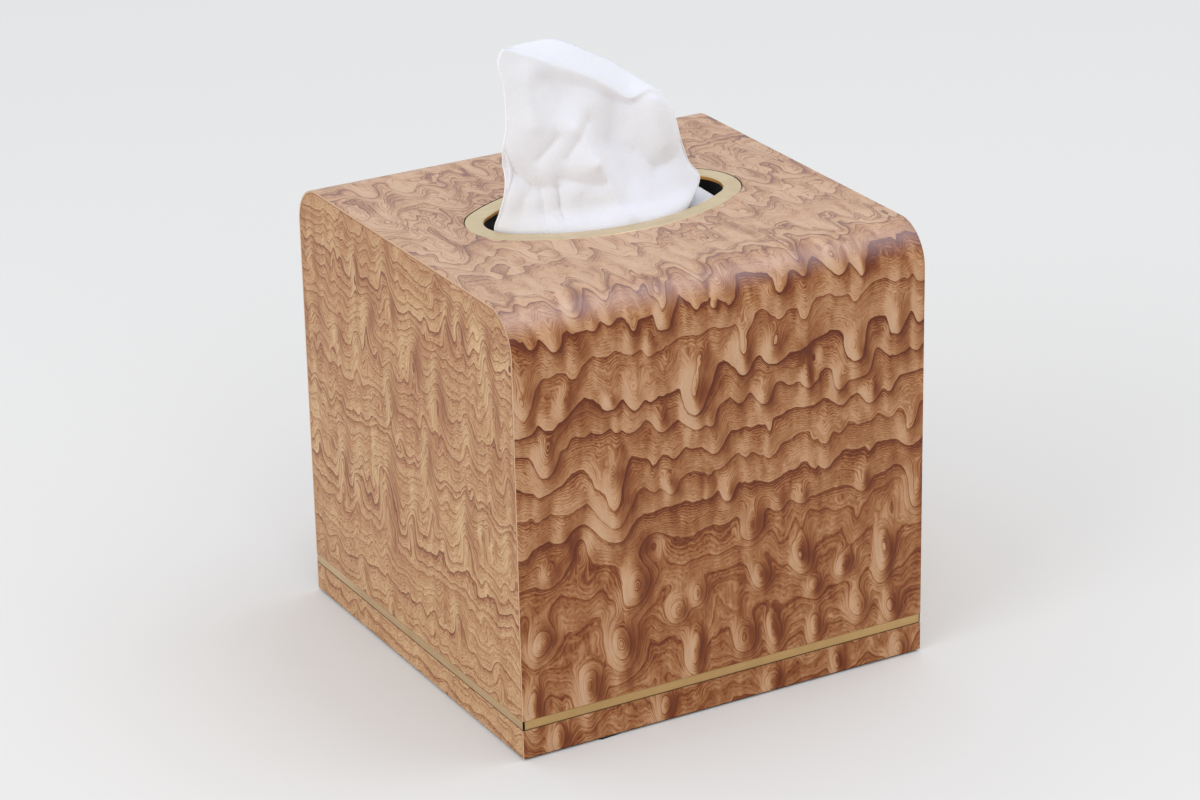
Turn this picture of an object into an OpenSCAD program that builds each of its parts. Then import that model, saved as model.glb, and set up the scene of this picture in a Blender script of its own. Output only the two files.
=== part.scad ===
// Cube cover for a box of tissues: a veneered case with rounded front and back top edges,
// a brass ring round an oval opening and a brass strip let in round its foot.
// The case lifts off a base board that carries the box of tissues.
// Frame: millimetres, +Z up, front towards -Y, origin on the table under the middle.

/* [Case] */
// Width of the case over its veneer
case_w = 140; // [132:1:180]
// Depth of the case over its veneer
case_d = 140; // [132:1:180]
// Height of the case's top above the table
case_h = 140; // [136:1:180]
// Outside radius of the front and back top edges
edge_r = 13; // [10:0.5:18]
// Thickness of the five case boards
board_t = 9; // [8:0.5:10]
// Thickness of the wood veneer
veneer_t = 0.6; // [0.4:0.1:1]
// Thickness of the suede card that lines the case
lining_t = 1; // [0.6:0.1:1.2]

/* [Foot of the case] */
// Thickness of the felt under the case and the base
felt_t = 0.8; // [0.5:0.1:1.2]
// Distance from the case's face to the felt under its walls
felt_inset = 1; // [0.6:0.1:1.5]
// Length of the felt's loose edge under the front wall
loose_l = 7; // [3:1:12]
// Distance from the middle of the front wall to the loose edge
loose_x = 40; // [20:1:50]
// Thickness of wall left outside the rebate for the base
lip_t = 4; // [3.5:0.1:4.5]

/* [Brass strips] */
// Height of the strips
strip_h = 3; // [2:0.5:5]
// Height of the strips' underside above the table
strip_z = 10; // [8:0.5:20]
// Thickness of the strips
strip_t = 1.5; // [1.2:0.1:2]
// Gap that each strip leaves before the corner
strip_gap = 0.3; // [0.1:0.1:0.6]
// Play of the groove under the strips
groove_play = 0.15; // [0.05:0.05:0.3]

/* [Opening] */
// Length of the ring's outer oval
oval_l = 92; // [84:1:96]
// Width of the ring's outer oval
oval_w = 52.4; // [46:0.2:58]
// Radius of the ring's outer oval at its two ends
oval_end_r = 17; // [15:0.5:19]
// Width of the ring's flat face
ring_w = 5.8; // [4:0.1:6.6]
// Thickness of the ring
ring_t = 1.2; // [1:0.1:2]
// Width of the bevel on the ring's inner and outer edges
ring_bevel = 0.3; // [0.1:0.1:0.5]
// Gap between the ring and the veneer
ring_gap = 0.15; // [0.05:0.05:0.3]
// Thickness of the black sleeve that lines the opening
sleeve_t = 0.8; // [0.5:0.1:1]
// Distance that the sleeve stands back from the ring's inner edge
sleeve_back = 0.3; // [0.1:0.1:0.6]

/* [Base] */
// Thickness of the base board
base_t = 4; // [3:0.5:6]
// Clearance between the base and the case all round
base_play = 0.3; // [0.2:0.1:0.6]
// Diameter of the holding magnets
magnet_d = 3; // [2:0.5:4]
// Height of the holding magnets
magnet_h = 2; // [1:0.5:2.5]
// Distance between the middles of the two magnets of one side
magnet_gap = 88; // [60:2:100]

/* [Box of tissues] */
// Gap between the case's lining and the carton all round
carton_play = 5.4; // [4.5:0.1:9]
// Gap between the carton and the case's ceiling
head_play = 3.6; // [1:0.1:6]
// Thickness of the carton's card
card_t = 0.6; // [0.4:0.1:1]
// Width of the carton's oval mouth
mouth_w = 36; // [30:1:50]
// Radius of the mouth's two ends
mouth_end_r = 13; // [11:0.5:14]
// Length of the mouth past each end of the slit
mouth_play = 6; // [3:0.5:8]
// Thickness of the film under the mouth
film_t = 0.3; // [0.2:0.05:0.4]
// Length of the slit past each end of the tissue
slit_end_play = 8; // [4:0.5:9]
// Width of the slit on each side of the tissue
slit_side_play = 2; // [1.5:0.1:4]
// Play between the stack of tissues and the carton
stack_play = 1; // [0.5:0.1:2]
// Height of the room left above the stack by the tissues already used
used_h = 14.8; // [6:0.2:60]

/* [Tissue] */
// Height of the standing tissue's upper edge above the case's top, at its middle
tissue_h = 40; // [30:1:60]
// Depth of the standing tissue at the case's top
tissue_d = 25; // [16:1:27]
// Gap between the ring's two ends and the standing tissue
tissue_end_play = 3.2; // [3:0.1:8]
// Gap between the ring's front and the standing tissue
tissue_front_play = 3.9; // [3.5:0.1:8]
// Distance of the tissue's middle from the opening's middle, along the opening
tissue_x = -2; // [-2:0.5:2]
// Depth of the tissue's soft folds
fold_depth = 1.5; // [0:0.1:2]
// Gap between the tissue's foot and the stack
foot_gap = 0.3; // [0.2:0.1:0.6]

/* [Hidden] */

// Overrun of every cut past the face that it leaves
cut = 1;

// Smoothness of round edges
$fn = 96;

// The core of the case, inside the veneer
core_w = case_w - 2 * veneer_t;
core_d = case_d - 2 * veneer_t;
core_top = case_h - veneer_t;
core_r = edge_r - veneer_t;
cavity_w = core_w - 2 * board_t;
cavity_d = core_d - 2 * board_t;
ceiling_z = core_top - board_t;

// The base and the rebate that it fits
base_top = felt_t + base_t;
rebate_top = base_top + base_play;
rebate_w = case_w - 2 * lip_t;
rebate_d = case_d - 2 * lip_t;
base_w = rebate_w - 2 * base_play;
base_d = rebate_d - 2 * base_play;

// The lined space, and the shoulder's middle that holds the magnets
lined_w = cavity_w - 2 * lining_t;
lined_d = cavity_d - 2 * lining_t;
lined_top = ceiling_z - lining_t;
magnet_x = (cavity_w + rebate_w) / 4;

// The box of tissues stands on the base's lining and follows the lined space
carton_w = lined_w - 2 * carton_play;
carton_d = lined_d - 2 * carton_play;
carton_z = base_top + lining_t;
carton_top = lined_top - head_play;
inner_w = carton_w - 2 * card_t;
inner_d = carton_d - 2 * card_t;
film_z = carton_top - card_t - film_t;
stack_z = carton_z + card_t;
stack_top = carton_top - card_t - used_h;
foot_z = stack_top + foot_gap;

// The standing tissue follows the ring's bore. Its stem is the part that the slit holds,
// as shares of the tissue's width and depth.
tissue_w = oval_l - 2 * (ring_w + tissue_end_play);
tissue_y = tissue_front_play + tissue_d / 2 + ring_w - oval_w / 2;
stem_w_share = 0.68;
stem_d_share = 0.2;
slit_l = stem_w_share * tissue_w + 2 * slit_end_play;
slit_w = stem_d_share * tissue_d + 2 * slit_side_play;
mouth_l = slit_l + 2 * mouth_play;

// Ring's levels, from its seat to the case's top
ring_z = case_h - ring_t;

// Growth of the ring's outer oval that gives the hole in the boards and the sleeve's bore
hole_grow = sleeve_back + sleeve_t - ring_w;
sleeve_grow = sleeve_back - ring_w;

// Brass, wood and cloth colours
veneer_colour = [0.66, 0.48, 0.35];
board_colour = [0.55, 0.42, 0.3];
brass_colour = [0.77, 0.68, 0.45];
black_colour = [0.06, 0.06, 0.065];
felt_colour = [0.1, 0.1, 0.1];
steel_colour = [0.7, 0.71, 0.73];
carton_colour = [0.93, 0.93, 0.92];
tissue_colour = [0.97, 0.97, 0.98];
film_colour = [0.9, 0.92, 0.94, 0.4];

// Steps along each arc of an oval
oval_steps = 16;

// Points of an oval drawn from four centres. The ends have the radius end_r, and the sides
// have the radius that meets them without a corner. grow moves the whole line outwards.
function oval_side_r(l, w, end_r) =
    let (run = l / 2 - end_r, rise = w / 2)
    (run * run + rise * rise - end_r * end_r) / (2 * (rise - end_r));

function arc_points(cx, cy, r, from, to) =
    [for (i = [0 : oval_steps - 1])
        let (a = from + (to - from) * i / oval_steps)
        [cx + r * cos(a), cy + r * sin(a)]];

function oval_points(l, w, end_r, grow = 0) =
    let (
        run = l / 2 - end_r,
        side_r = oval_side_r(l, w, end_r),
        drop = side_r - w / 2,
        turn = atan2(drop, run)
    )
    concat(
        arc_points(run, 0, end_r + grow, -turn, turn),
        arc_points(0, -drop, side_r + grow, turn, 180 - turn),
        arc_points(-run, 0, end_r + grow, 180 - turn, 180 + turn),
        arc_points(0, drop, side_r + grow, 180 + turn, 360 - turn)
    );

function opening_points(grow) = oval_points(oval_l, oval_w, oval_end_r, grow);

// Faces of a closed skin over rings of equally many points: walls between the rings,
// a fan over each end from the two centre points that follow the rings in the list.
function skin_walls(rings, n) =
    [for (k = [0 : rings - 2], i = [0 : n - 1])
        let (a = k * n + i, b = k * n + (i + 1) % n)
        each [[a, a + n, b], [b, a + n, b + n]]];

function skin_caps(rings, n) =
    [for (i = [0 : n - 1])
        let (j = (i + 1) % n, last = (rings - 1) * n)
        each [[i, j, rings * n], [last + j, last + i, rings * n + 1]]];

// A vertical prism with the oval's outline
module oval_prism(grow, z0, z1) {
    translate([0, 0, z0])
        linear_extrude(height = z1 - z0)
            polygon(opening_points(grow));
}

// A plate centred on the Z axis
module plate(w, d, z0, z1) {
    translate([-w / 2, -d / 2, z0])
        cube([w, d, z1 - z0]);
}

// A square frame on the Z axis, with its own inner width and depth
module frame(w, d, inner_w, inner_d, z0, z1) {
    difference() {
        plate(w, d, z0, z1);
        plate(inner_w, inner_d, z0 - cut, z1 + cut);
    }
}

// Outline of the case seen from its side, with the two top corners rounded
module side_outline(d, z0, z1, r) {
    difference() {
        translate([-d / 2, z0])
            square([d, z1 - z0]);
        for (side = [-1, 1])
            scale([side, 1])
                difference() {
                    translate([d / 2 - r, z1 - r])
                        square([r + cut, r + cut]);
                    translate([d / 2 - r, z1 - r])
                        circle(r = r);
                }
    }
}

// Extrudes a side outline along the case's width
module along_width(x0, x1) {
    translate([x0, 0, 0])
        rotate([90, 0, 90])
            linear_extrude(height = x1 - x0)
                children();
}

// Groove for the brass strips, all round the case
module strip_groove() {
    frame(case_w + 2 * cut, case_d + 2 * cut, case_w - 2 * strip_t, case_d - 2 * strip_t,
        strip_z - groove_play, strip_z + strip_h);
}

// Rebate round the foot of the case, open towards the table
module base_rebate() {
    plate(rebate_w, rebate_d, felt_t - cut, rebate_top);
}

// Four discs in the middle of the shoulder, two on each side of the case
module magnet_set(z0, z1) {
    for (x = [-magnet_x, magnet_x], y = [-magnet_gap / 2, magnet_gap / 2])
        translate([x, y, z0])
            cylinder(d = magnet_d, h = z1 - z0);
}

// Side board, over the ends of the front, top and back boards
module side_board(side) {
    inner_x = cavity_w / 2;
    difference() {
        along_width(side < 0 ? -core_w / 2 : inner_x, side < 0 ? -inner_x : core_w / 2)
            side_outline(core_d, felt_t, core_top, core_r);
        base_rebate();
        strip_groove();
        magnet_set(rebate_top - cut, rebate_top + magnet_h);
    }
}

// Front, top and back boards share one round-cornered shell between the side boards
module shell_outline() {
    difference() {
        side_outline(core_d, felt_t, core_top, core_r);
        translate([-cavity_d / 2, felt_t - cut])
            square([cavity_d, ceiling_z - felt_t + cut]);
    }
}

// The half planes behind the mitres that part the top board from the front and back boards
module mitre_wedge() {
    reach = board_t + cut;
    polygon([
        [-cavity_d / 2, ceiling_z],
        [-cavity_d / 2 - reach, ceiling_z + reach],
        [cavity_d / 2 + reach, ceiling_z + reach],
        [cavity_d / 2, ceiling_z]
    ]);
}

// Front or back board, mitred to the top board inside the rounded edge
module wall_board(side) {
    difference() {
        along_width(-cavity_w / 2, cavity_w / 2)
            difference() {
                intersection() {
                    shell_outline();
                    translate([side < 0 ? -core_d : 0, 0])
                        square([core_d, case_h]);
                }
                mitre_wedge();
            }
        base_rebate();
        strip_groove();
    }
}

module front_board() {
    color(board_colour) wall_board(-1);
}

module back_board() {
    color(board_colour) wall_board(1);
}

module left_board() {
    color(board_colour) side_board(-1);
}

module right_board() {
    color(board_colour) side_board(1);
}

// Top board, with the oval hole and the seat that the ring lies in
module top_board() {
    color(board_colour)
        difference() {
            along_width(-cavity_w / 2, cavity_w / 2)
                intersection() {
                    shell_outline();
                    mitre_wedge();
                }
            oval_prism(hole_grow, ceiling_z - cut, core_top + cut);
            oval_prism(ring_gap, ring_z, core_top + cut);
        }
}

// One sheet of veneer over the front, the top and the back, and over the edges of the side
// boards and their veneer, so that its own edge shows along the sides
module wrap_veneer() {
    color(veneer_colour)
        difference() {
            along_width(-case_w / 2, case_w / 2)
                difference() {
                    side_outline(case_d, strip_z + strip_h, case_h, edge_r);
                    side_outline(core_d, felt_t, core_top, core_r);
                }
            oval_prism(ring_gap, core_top - cut, case_h + cut);
        }
}

// Veneer of one side, under the edges of the wrapped sheet
module side_veneer(side, z0) {
    outer_x = case_w / 2;
    inner_x = core_w / 2;
    along_width(side < 0 ? -outer_x : inner_x, side < 0 ? -inner_x : outer_x)
        side_outline(core_d, z0, core_top, core_r);
}

module left_veneer() {
    color(veneer_colour) side_veneer(-1, strip_z + strip_h);
}

module right_veneer() {
    color(veneer_colour) side_veneer(1, strip_z + strip_h);
}

// Veneer below the strip, on the front or the back
module wall_plinth_veneer(side) {
    translate([-case_w / 2, side < 0 ? -case_d / 2 : core_d / 2, felt_t])
        cube([case_w, veneer_t, strip_z - groove_play - felt_t]);
}

// Veneer below the strip, on one side
module side_plinth_veneer(side) {
    translate([side < 0 ? -case_w / 2 : core_w / 2, -core_d / 2, felt_t])
        cube([veneer_t, core_d, strip_z - groove_play - felt_t]);
}

module front_plinth_veneer() {
    color(veneer_colour) wall_plinth_veneer(-1);
}

module back_plinth_veneer() {
    color(veneer_colour) wall_plinth_veneer(1);
}

module left_plinth_veneer() {
    color(veneer_colour) side_plinth_veneer(-1);
}

module right_plinth_veneer() {
    color(veneer_colour) side_plinth_veneer(1);
}

// Brass strip with mitred ends that stop short of the corners, drawn for the front
module strip(length, depth) {
    outer = length / 2 - strip_gap;
    inner = outer - strip_t;
    translate([0, 0, strip_z])
        linear_extrude(height = strip_h)
            polygon([
                [-outer, -depth / 2],
                [outer, -depth / 2],
                [inner, strip_t - depth / 2],
                [-inner, strip_t - depth / 2]
            ]);
}

module front_strip() {
    color(brass_colour) strip(case_w, case_d);
}

module back_strip() {
    color(brass_colour) rotate([0, 0, 180]) strip(case_w, case_d);
}

module left_strip() {
    color(brass_colour) rotate([0, 0, -90]) strip(case_d, case_w);
}

module right_strip() {
    color(brass_colour) rotate([0, 0, 90]) strip(case_d, case_w);
}

// Flat oval ring, let in flush with the veneer, with a fine bevel on both top edges.
// Its section is carried round the oval: each corner of the section is one line of points.
module opening_ring() {
    section = [
        [-ring_w, ring_z],
        [-ring_w, case_h - ring_bevel],
        [-ring_w + ring_bevel, case_h],
        [-ring_bevel, case_h],
        [0, case_h - ring_bevel],
        [0, ring_z]
    ];
    corners = len(section);
    n = 4 * oval_steps;
    points = [for (s = section, p = opening_points(s[0])) [p[0], p[1], s[1]]];
    faces = [for (k = [0 : corners - 1], i = [0 : n - 1])
        let (
            m = (k + 1) % corners,
            j = (i + 1) % n
        )
        each [[k * n + i, m * n + i, k * n + j], [k * n + j, m * n + i, m * n + j]]];
    color(brass_colour)
        polyhedron(points = points, faces = faces);
}

// Black band that lines the hole through the top, from the ring down past the lining
module opening_sleeve() {
    color(black_colour)
        difference() {
            oval_prism(hole_grow, lined_top, ring_z);
            oval_prism(sleeve_grow, lined_top - cut, ring_z + cut);
        }
}

// Suede-faced cards that line the case
module top_lining() {
    color(black_colour)
        difference() {
            plate(cavity_w, cavity_d, lined_top, ceiling_z);
            oval_prism(hole_grow, lined_top - cut, ceiling_z + cut);
        }
}

module wall_lining(side) {
    translate([-cavity_w / 2, side < 0 ? -cavity_d / 2 : lined_d / 2, rebate_top])
        cube([cavity_w, lining_t, lined_top - rebate_top]);
}

module side_lining(side) {
    translate([side < 0 ? -cavity_w / 2 : lined_w / 2, -lined_d / 2, rebate_top])
        cube([lining_t, lined_d, lined_top - rebate_top]);
}

module front_lining() {
    color(black_colour) wall_lining(-1);
}

module back_lining() {
    color(black_colour) wall_lining(1);
}

module left_lining() {
    color(black_colour) side_lining(-1);
}

module right_lining() {
    color(black_colour) side_lining(1);
}

// Felt under one wall's lip, between the felts of the neighbouring walls
module felt_band(length, depth) {
    width = lip_t - felt_inset;
    translate([-length / 2, felt_inset - depth / 2, 0])
        cube([length, width, felt_t]);
}

// The front band has a loose edge that has crept out to the case's face
module front_felt() {
    color(felt_colour)
        union() {
            felt_band(rebate_w, case_d);
            translate([-loose_x, -case_d / 2, 0])
                linear_extrude(height = felt_t)
                    polygon([
                        [-loose_l / 2, 0],
                        [loose_l / 4, felt_inset / 2],
                        [loose_l / 2, felt_inset],
                        [loose_l / 2, lip_t],
                        [-loose_l / 2 - felt_inset, lip_t],
                        [-loose_l / 2 - felt_inset, felt_inset]
                    ]);
        }
}

module back_felt() {
    color(felt_colour) rotate([0, 0, 180]) felt_band(rebate_w, case_d);
}

module left_felt() {
    color(felt_colour) rotate([0, 0, -90]) felt_band(case_d - 2 * felt_inset, case_w);
}

module right_felt() {
    color(felt_colour) rotate([0, 0, 90]) felt_band(case_d - 2 * felt_inset, case_w);
}

module case_magnets() {
    color(steel_colour) magnet_set(rebate_top, rebate_top + magnet_h);
}

// Base board that drops into the rebate, with its magnets let in from above
module base_board() {
    color(board_colour)
        difference() {
            plate(base_w, base_d, felt_t, base_top);
            magnet_set(base_top - magnet_h, base_top + cut);
        }
}

module base_lining() {
    color(black_colour)
        plate(lined_w - 2 * base_play, lined_d - 2 * base_play, base_top, carton_z);
}

module base_felt() {
    color(felt_colour) plate(base_w - 2 * felt_inset, base_d - 2 * felt_inset, 0, felt_t);
}

module base_magnets() {
    color(steel_colour) magnet_set(base_top - magnet_h, base_top);
}

// Closed carton with an oval mouth torn out of its top
module refill_carton() {
    color(carton_colour)
        difference() {
            plate(carton_w, carton_d, carton_z, carton_top);
            plate(inner_w, inner_d, stack_z, carton_top - card_t);
            translate([0, 0, carton_top - card_t - cut])
                linear_extrude(height = card_t + 2 * cut)
                    polygon(oval_points(mouth_l, mouth_w, mouth_end_r));
        }
}

// Clear film glued under the carton's top, with a slit whose sides bow apart round the tissue
module carton_film() {
    bow = slit_w / 2;
    radius = (slit_l * slit_l / 4 + bow * bow) / (2 * bow);
    color(film_colour)
        difference() {
            plate(inner_w - 2 * stack_play, inner_d - 2 * stack_play, film_z, film_z + film_t);
            translate([0, 0, film_z - cut])
                linear_extrude(height = film_t + 2 * cut)
                    intersection() {
                        translate([0, radius - bow])
                            circle(r = radius);
                        translate([0, bow - radius])
                            circle(r = radius);
                    }
        }
}

module tissue_stack() {
    color(tissue_colour)
        plate(inner_w - 2 * stack_play, inner_d - 2 * stack_play, stack_z, stack_top);
}

// The standing tissue, from its foot on the stack to its folded upper edge. Each row is one
// level: where it lies between foot and case top (0 to 1) and from there to the upper edge
// (1 to 2), how much it follows the slope of the upper edge, how far its middle has moved
// from the slit's middle, and how far it reaches left, right, forward and back, as shares of
// half the tissue's width and depth. The wide row below the case's top is the flap that
// lies in the opening.
level_shares = [
    [0.00, 0.00, 0.00, 0.55, 0.55, 0.15, 0.15],
    [0.30, 0.00, 0.00, 0.62, 0.62, 0.17, 0.17],
    [0.50, 0.00, 0.00, stem_w_share, stem_w_share, stem_d_share, stem_d_share],
    [0.66, 0.00, 0.60, 0.88, 0.88, 0.65, 0.60],
    [0.84, 0.00, 0.90, 0.94, 0.99, 0.90, 0.86],
    [0.93, 0.00, 1.00, 0.96, 0.84, 0.95, 0.90],
    [1.00, 0.00, 1.00, 0.97, 0.82, 0.96, 0.92],
    [1.08, 0.03, 1.00, 0.96, 0.91, 0.91, 0.93],
    [1.20, 0.10, 1.00, 0.91, 0.82, 0.82, 0.93],
    [1.38, 0.24, 1.00, 0.89, 0.77, 0.68, 0.93],
    [1.56, 0.42, 1.00, 0.92, 0.75, 0.52, 0.94],
    [1.75, 0.68, 1.00, 0.90, 0.73, 0.36, 0.95],
    [1.90, 0.90, 1.00, 0.92, 0.71, 0.22, 0.96],
    [2.00, 1.00, 1.00, 0.95, 0.68, 0.16, 0.96]
];

// Fall of the upper edge to the right of its shoulder and to the left of it, and its rise
// towards the back, in mm for each mm. The shoulder's place is a share of half the width.
fall_share = 0.55;
left_fall_share = 0.22;
rise_share = 0.5;
shoulder_share = 0.38;

// Points round the tissue, and soft folds in one round
tissue_steps = 48;
folds = 5;
fold_phase = 60;

// Extra fullness of the back towards the right, as a share of its depth
full_share = 0.3;

function tissue_level_z(share) =
    share < 1 ? foot_z + (case_h - foot_z) * share : case_h + tissue_h * (share - 1);

// Drop of the upper edge at a distance u to the right of the tissue's middle
function edge_fall(u) =
    let (shoulder = -shoulder_share * tissue_w / 2)
    u > shoulder ? fall_share * u : fall_share * shoulder + left_fall_share * (u - shoulder);

// One point of the tissue: a pointed left end, a full right end, and folds that run up it
function tissue_point(row, a) =
    let (
        along = cos(a),
        across = sin(a),
        half_w = tissue_w / 2 * (along < 0 ? row[3] : row[4]),
        half_d = tissue_d / 2 * (across < 0 ? row[5] : row[6]),
        full = across < 0 ? 1 : 1 + full_share * along * (1 - along * along),
        fold = fold_depth * row[6] * cos(folds * a + fold_phase) * across * across,
        x = tissue_x * row[2] + half_w * along,
        y = tissue_y * row[2] + (half_d * full - fold) * across,
        lean = row[1] * (rise_share * (y - tissue_y) - edge_fall(x - tissue_x))
    )
    [x, y, tissue_level_z(row[0]) + lean];

module tissue() {
    rings = len(level_shares);
    n = tissue_steps;
    walls = [for (row = level_shares, i = [0 : n - 1]) tissue_point(row, 360 * i / n)];
    middles = [
        [0, 0, foot_z],
        [tissue_x, tissue_y, case_h + tissue_h]
    ];
    color(tissue_colour)
        polyhedron(
            points = concat(walls, middles),
            faces = concat(skin_walls(rings, n), skin_caps(rings, n))
        );
}

front_board();
back_board();
left_board();
right_board();
top_board();
wrap_veneer();
left_veneer();
right_veneer();
front_plinth_veneer();
back_plinth_veneer();
left_plinth_veneer();
right_plinth_veneer();
front_strip();
back_strip();
left_strip();
right_strip();
opening_ring();
opening_sleeve();
top_lining();
front_lining();
back_lining();
left_lining();
right_lining();
front_felt();
back_felt();
left_felt();
right_felt();
case_magnets();
base_board();
base_lining();
base_felt();
base_magnets();
refill_carton();
carton_film();
tissue_stack();
tissue();
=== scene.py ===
"""Veneered tissue box cover with a let-in brass oval: the finishes, the soft paper and the studio.

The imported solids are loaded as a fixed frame, in metres, with +Z up and the front towards -Y. Each operator
dresses or makes one group of pieces; main() runs them in order.
"""

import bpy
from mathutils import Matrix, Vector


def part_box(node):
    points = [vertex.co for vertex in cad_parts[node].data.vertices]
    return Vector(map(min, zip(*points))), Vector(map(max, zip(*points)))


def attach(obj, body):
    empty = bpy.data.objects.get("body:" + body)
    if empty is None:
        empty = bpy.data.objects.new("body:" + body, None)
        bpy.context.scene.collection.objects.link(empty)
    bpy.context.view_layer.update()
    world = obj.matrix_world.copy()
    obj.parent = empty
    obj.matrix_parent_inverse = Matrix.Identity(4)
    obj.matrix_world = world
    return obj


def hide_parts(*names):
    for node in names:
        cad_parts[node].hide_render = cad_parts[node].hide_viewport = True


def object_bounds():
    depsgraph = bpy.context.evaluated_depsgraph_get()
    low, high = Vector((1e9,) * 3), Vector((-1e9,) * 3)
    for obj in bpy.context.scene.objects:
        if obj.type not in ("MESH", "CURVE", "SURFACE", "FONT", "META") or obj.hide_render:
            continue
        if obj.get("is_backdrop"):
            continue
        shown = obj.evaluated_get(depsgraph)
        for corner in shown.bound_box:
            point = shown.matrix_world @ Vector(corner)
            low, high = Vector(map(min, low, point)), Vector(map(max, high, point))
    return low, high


bl_info = {
    "name": "Tissue box cover finishes",
    "version": (1, 0, 0),
    "blender": (4, 5, 0),
    "location": "3D View > Sidebar > Tissue cover",
    "description": "Dresses the frame of a veneered tissue box cover and makes its soft paper",
    "category": "Object",
}

from math import cos, pi, radians, sin
from types import SimpleNamespace

import bpy
import numpy as np
from bpy.props import FloatProperty, FloatVectorProperty, IntProperty, PointerProperty
from mathutils import Matrix, Vector

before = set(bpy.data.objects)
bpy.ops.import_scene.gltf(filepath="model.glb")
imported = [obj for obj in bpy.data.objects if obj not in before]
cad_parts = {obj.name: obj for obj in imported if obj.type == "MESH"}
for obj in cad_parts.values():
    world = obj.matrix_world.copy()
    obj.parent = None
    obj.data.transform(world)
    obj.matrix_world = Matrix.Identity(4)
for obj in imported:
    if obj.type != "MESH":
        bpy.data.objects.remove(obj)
PACKED_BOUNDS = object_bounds()

MM = 0.001
E, ONE_BY_E, FULL_TURN = 2.718, 0.3679, 6.283
# The case in millimetres: radius of its rounded edges, half its depth, its height, and the brass strip's lower
# and upper edge and where it stops short of a corner. In the carton: just inside its faces, and its glued seam.
EDGE_R, HALF_D, TOP = 13.0, 70.0, 140.0
STRIP_LOW, STRIP_HIGH, STRIP_END = 10.0, 13.0, 69.45
CARTON_SKIN, CARTON_SEAM = 53.0, 48.0
# The opening's cut edge lies within this of the middle in x and in y, and above this.
HOLE_X, HOLE_Y, HOLE_Z = 60, 39, 130
# Height of a pair of plies that is folded over itself, in gaps between two plies.
PAIR = 2.6
# The photograph's width and the camera's focal length, both in its pixels.
PHOTO_WIDTH, FOCAL_LENGTH = 1200, 3854.16


def shade(code):
    """Linear colour, with alpha, of a screen colour written as 0xRRGGBB."""
    parts = [(code >> shift & 255) / 255 for shift in (16, 8, 0)]
    return tuple(c / 12.92 if c <= 0.04045 else ((c + 0.055) / 1.055) ** 2.4 for c in parts) + (1.0,)


def tinted(shown, *by):
    """A colour times one number, or times one number each for red, green and blue."""
    return tuple(min(1.0, c * k) for c, k in zip(shown, by * (4 - len(by)))) + (1.0,)


# The first two colours are painted light: a highlight on the rounded edges and shade in the gap round the opening.
PAINTED_EDGE_HIGHLIGHT, PAINTED_GAP_SHADE, GAP_BLACK, WARM_GOLD = shade(0xDCCEE8), shade(0x120A05), shade(0x0C0806), shade(0xE0A24C)
# The first colour is painted light: tissue that faces up drawn bluer, as if lit from above.
PAINTED_LIGHT_FROM_ABOVE, BACKDROP, FLOOR = shade(0xE8E9F9), shade(0xE8E9E9), shade(0xDFDFE0)


def colour(name, description, code):
    """A colour that the user can change in the panel."""
    return FloatVectorProperty(
        name=name, description=description, subtype="COLOR", size=4, min=0, max=1, default=shade(code)
    )


def length(name, description, value):
    """A length in metres that the user can change in the panel."""
    return FloatProperty(name=name, description=description, default=value, min=0, unit="LENGTH", precision=5)


def sign(operation, swapped=False):
    """What a sign next to a wire does: it adds a Math node."""

    def apply(*values):
        return values[0].recipe.math(operation, *(values[::-1] if swapped else values))

    return apply


class Wire:
    """A value in a node tree. Signs between wires and numbers add Math nodes."""

    def __init__(self, recipe, socket):
        self.recipe, self.socket = recipe, socket

    __add__ = __radd__ = sign("ADD")
    __mul__ = __rmul__ = sign("MULTIPLY")
    __sub__, __rsub__ = sign("SUBTRACT"), sign("SUBTRACT", swapped=True)
    __truediv__, __pow__, __abs__ = sign("DIVIDE"), sign("POWER"), sign("ABSOLUTE")
    __gt__, __lt__ = sign("GREATER_THAN"), sign("LESS_THAN")


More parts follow.
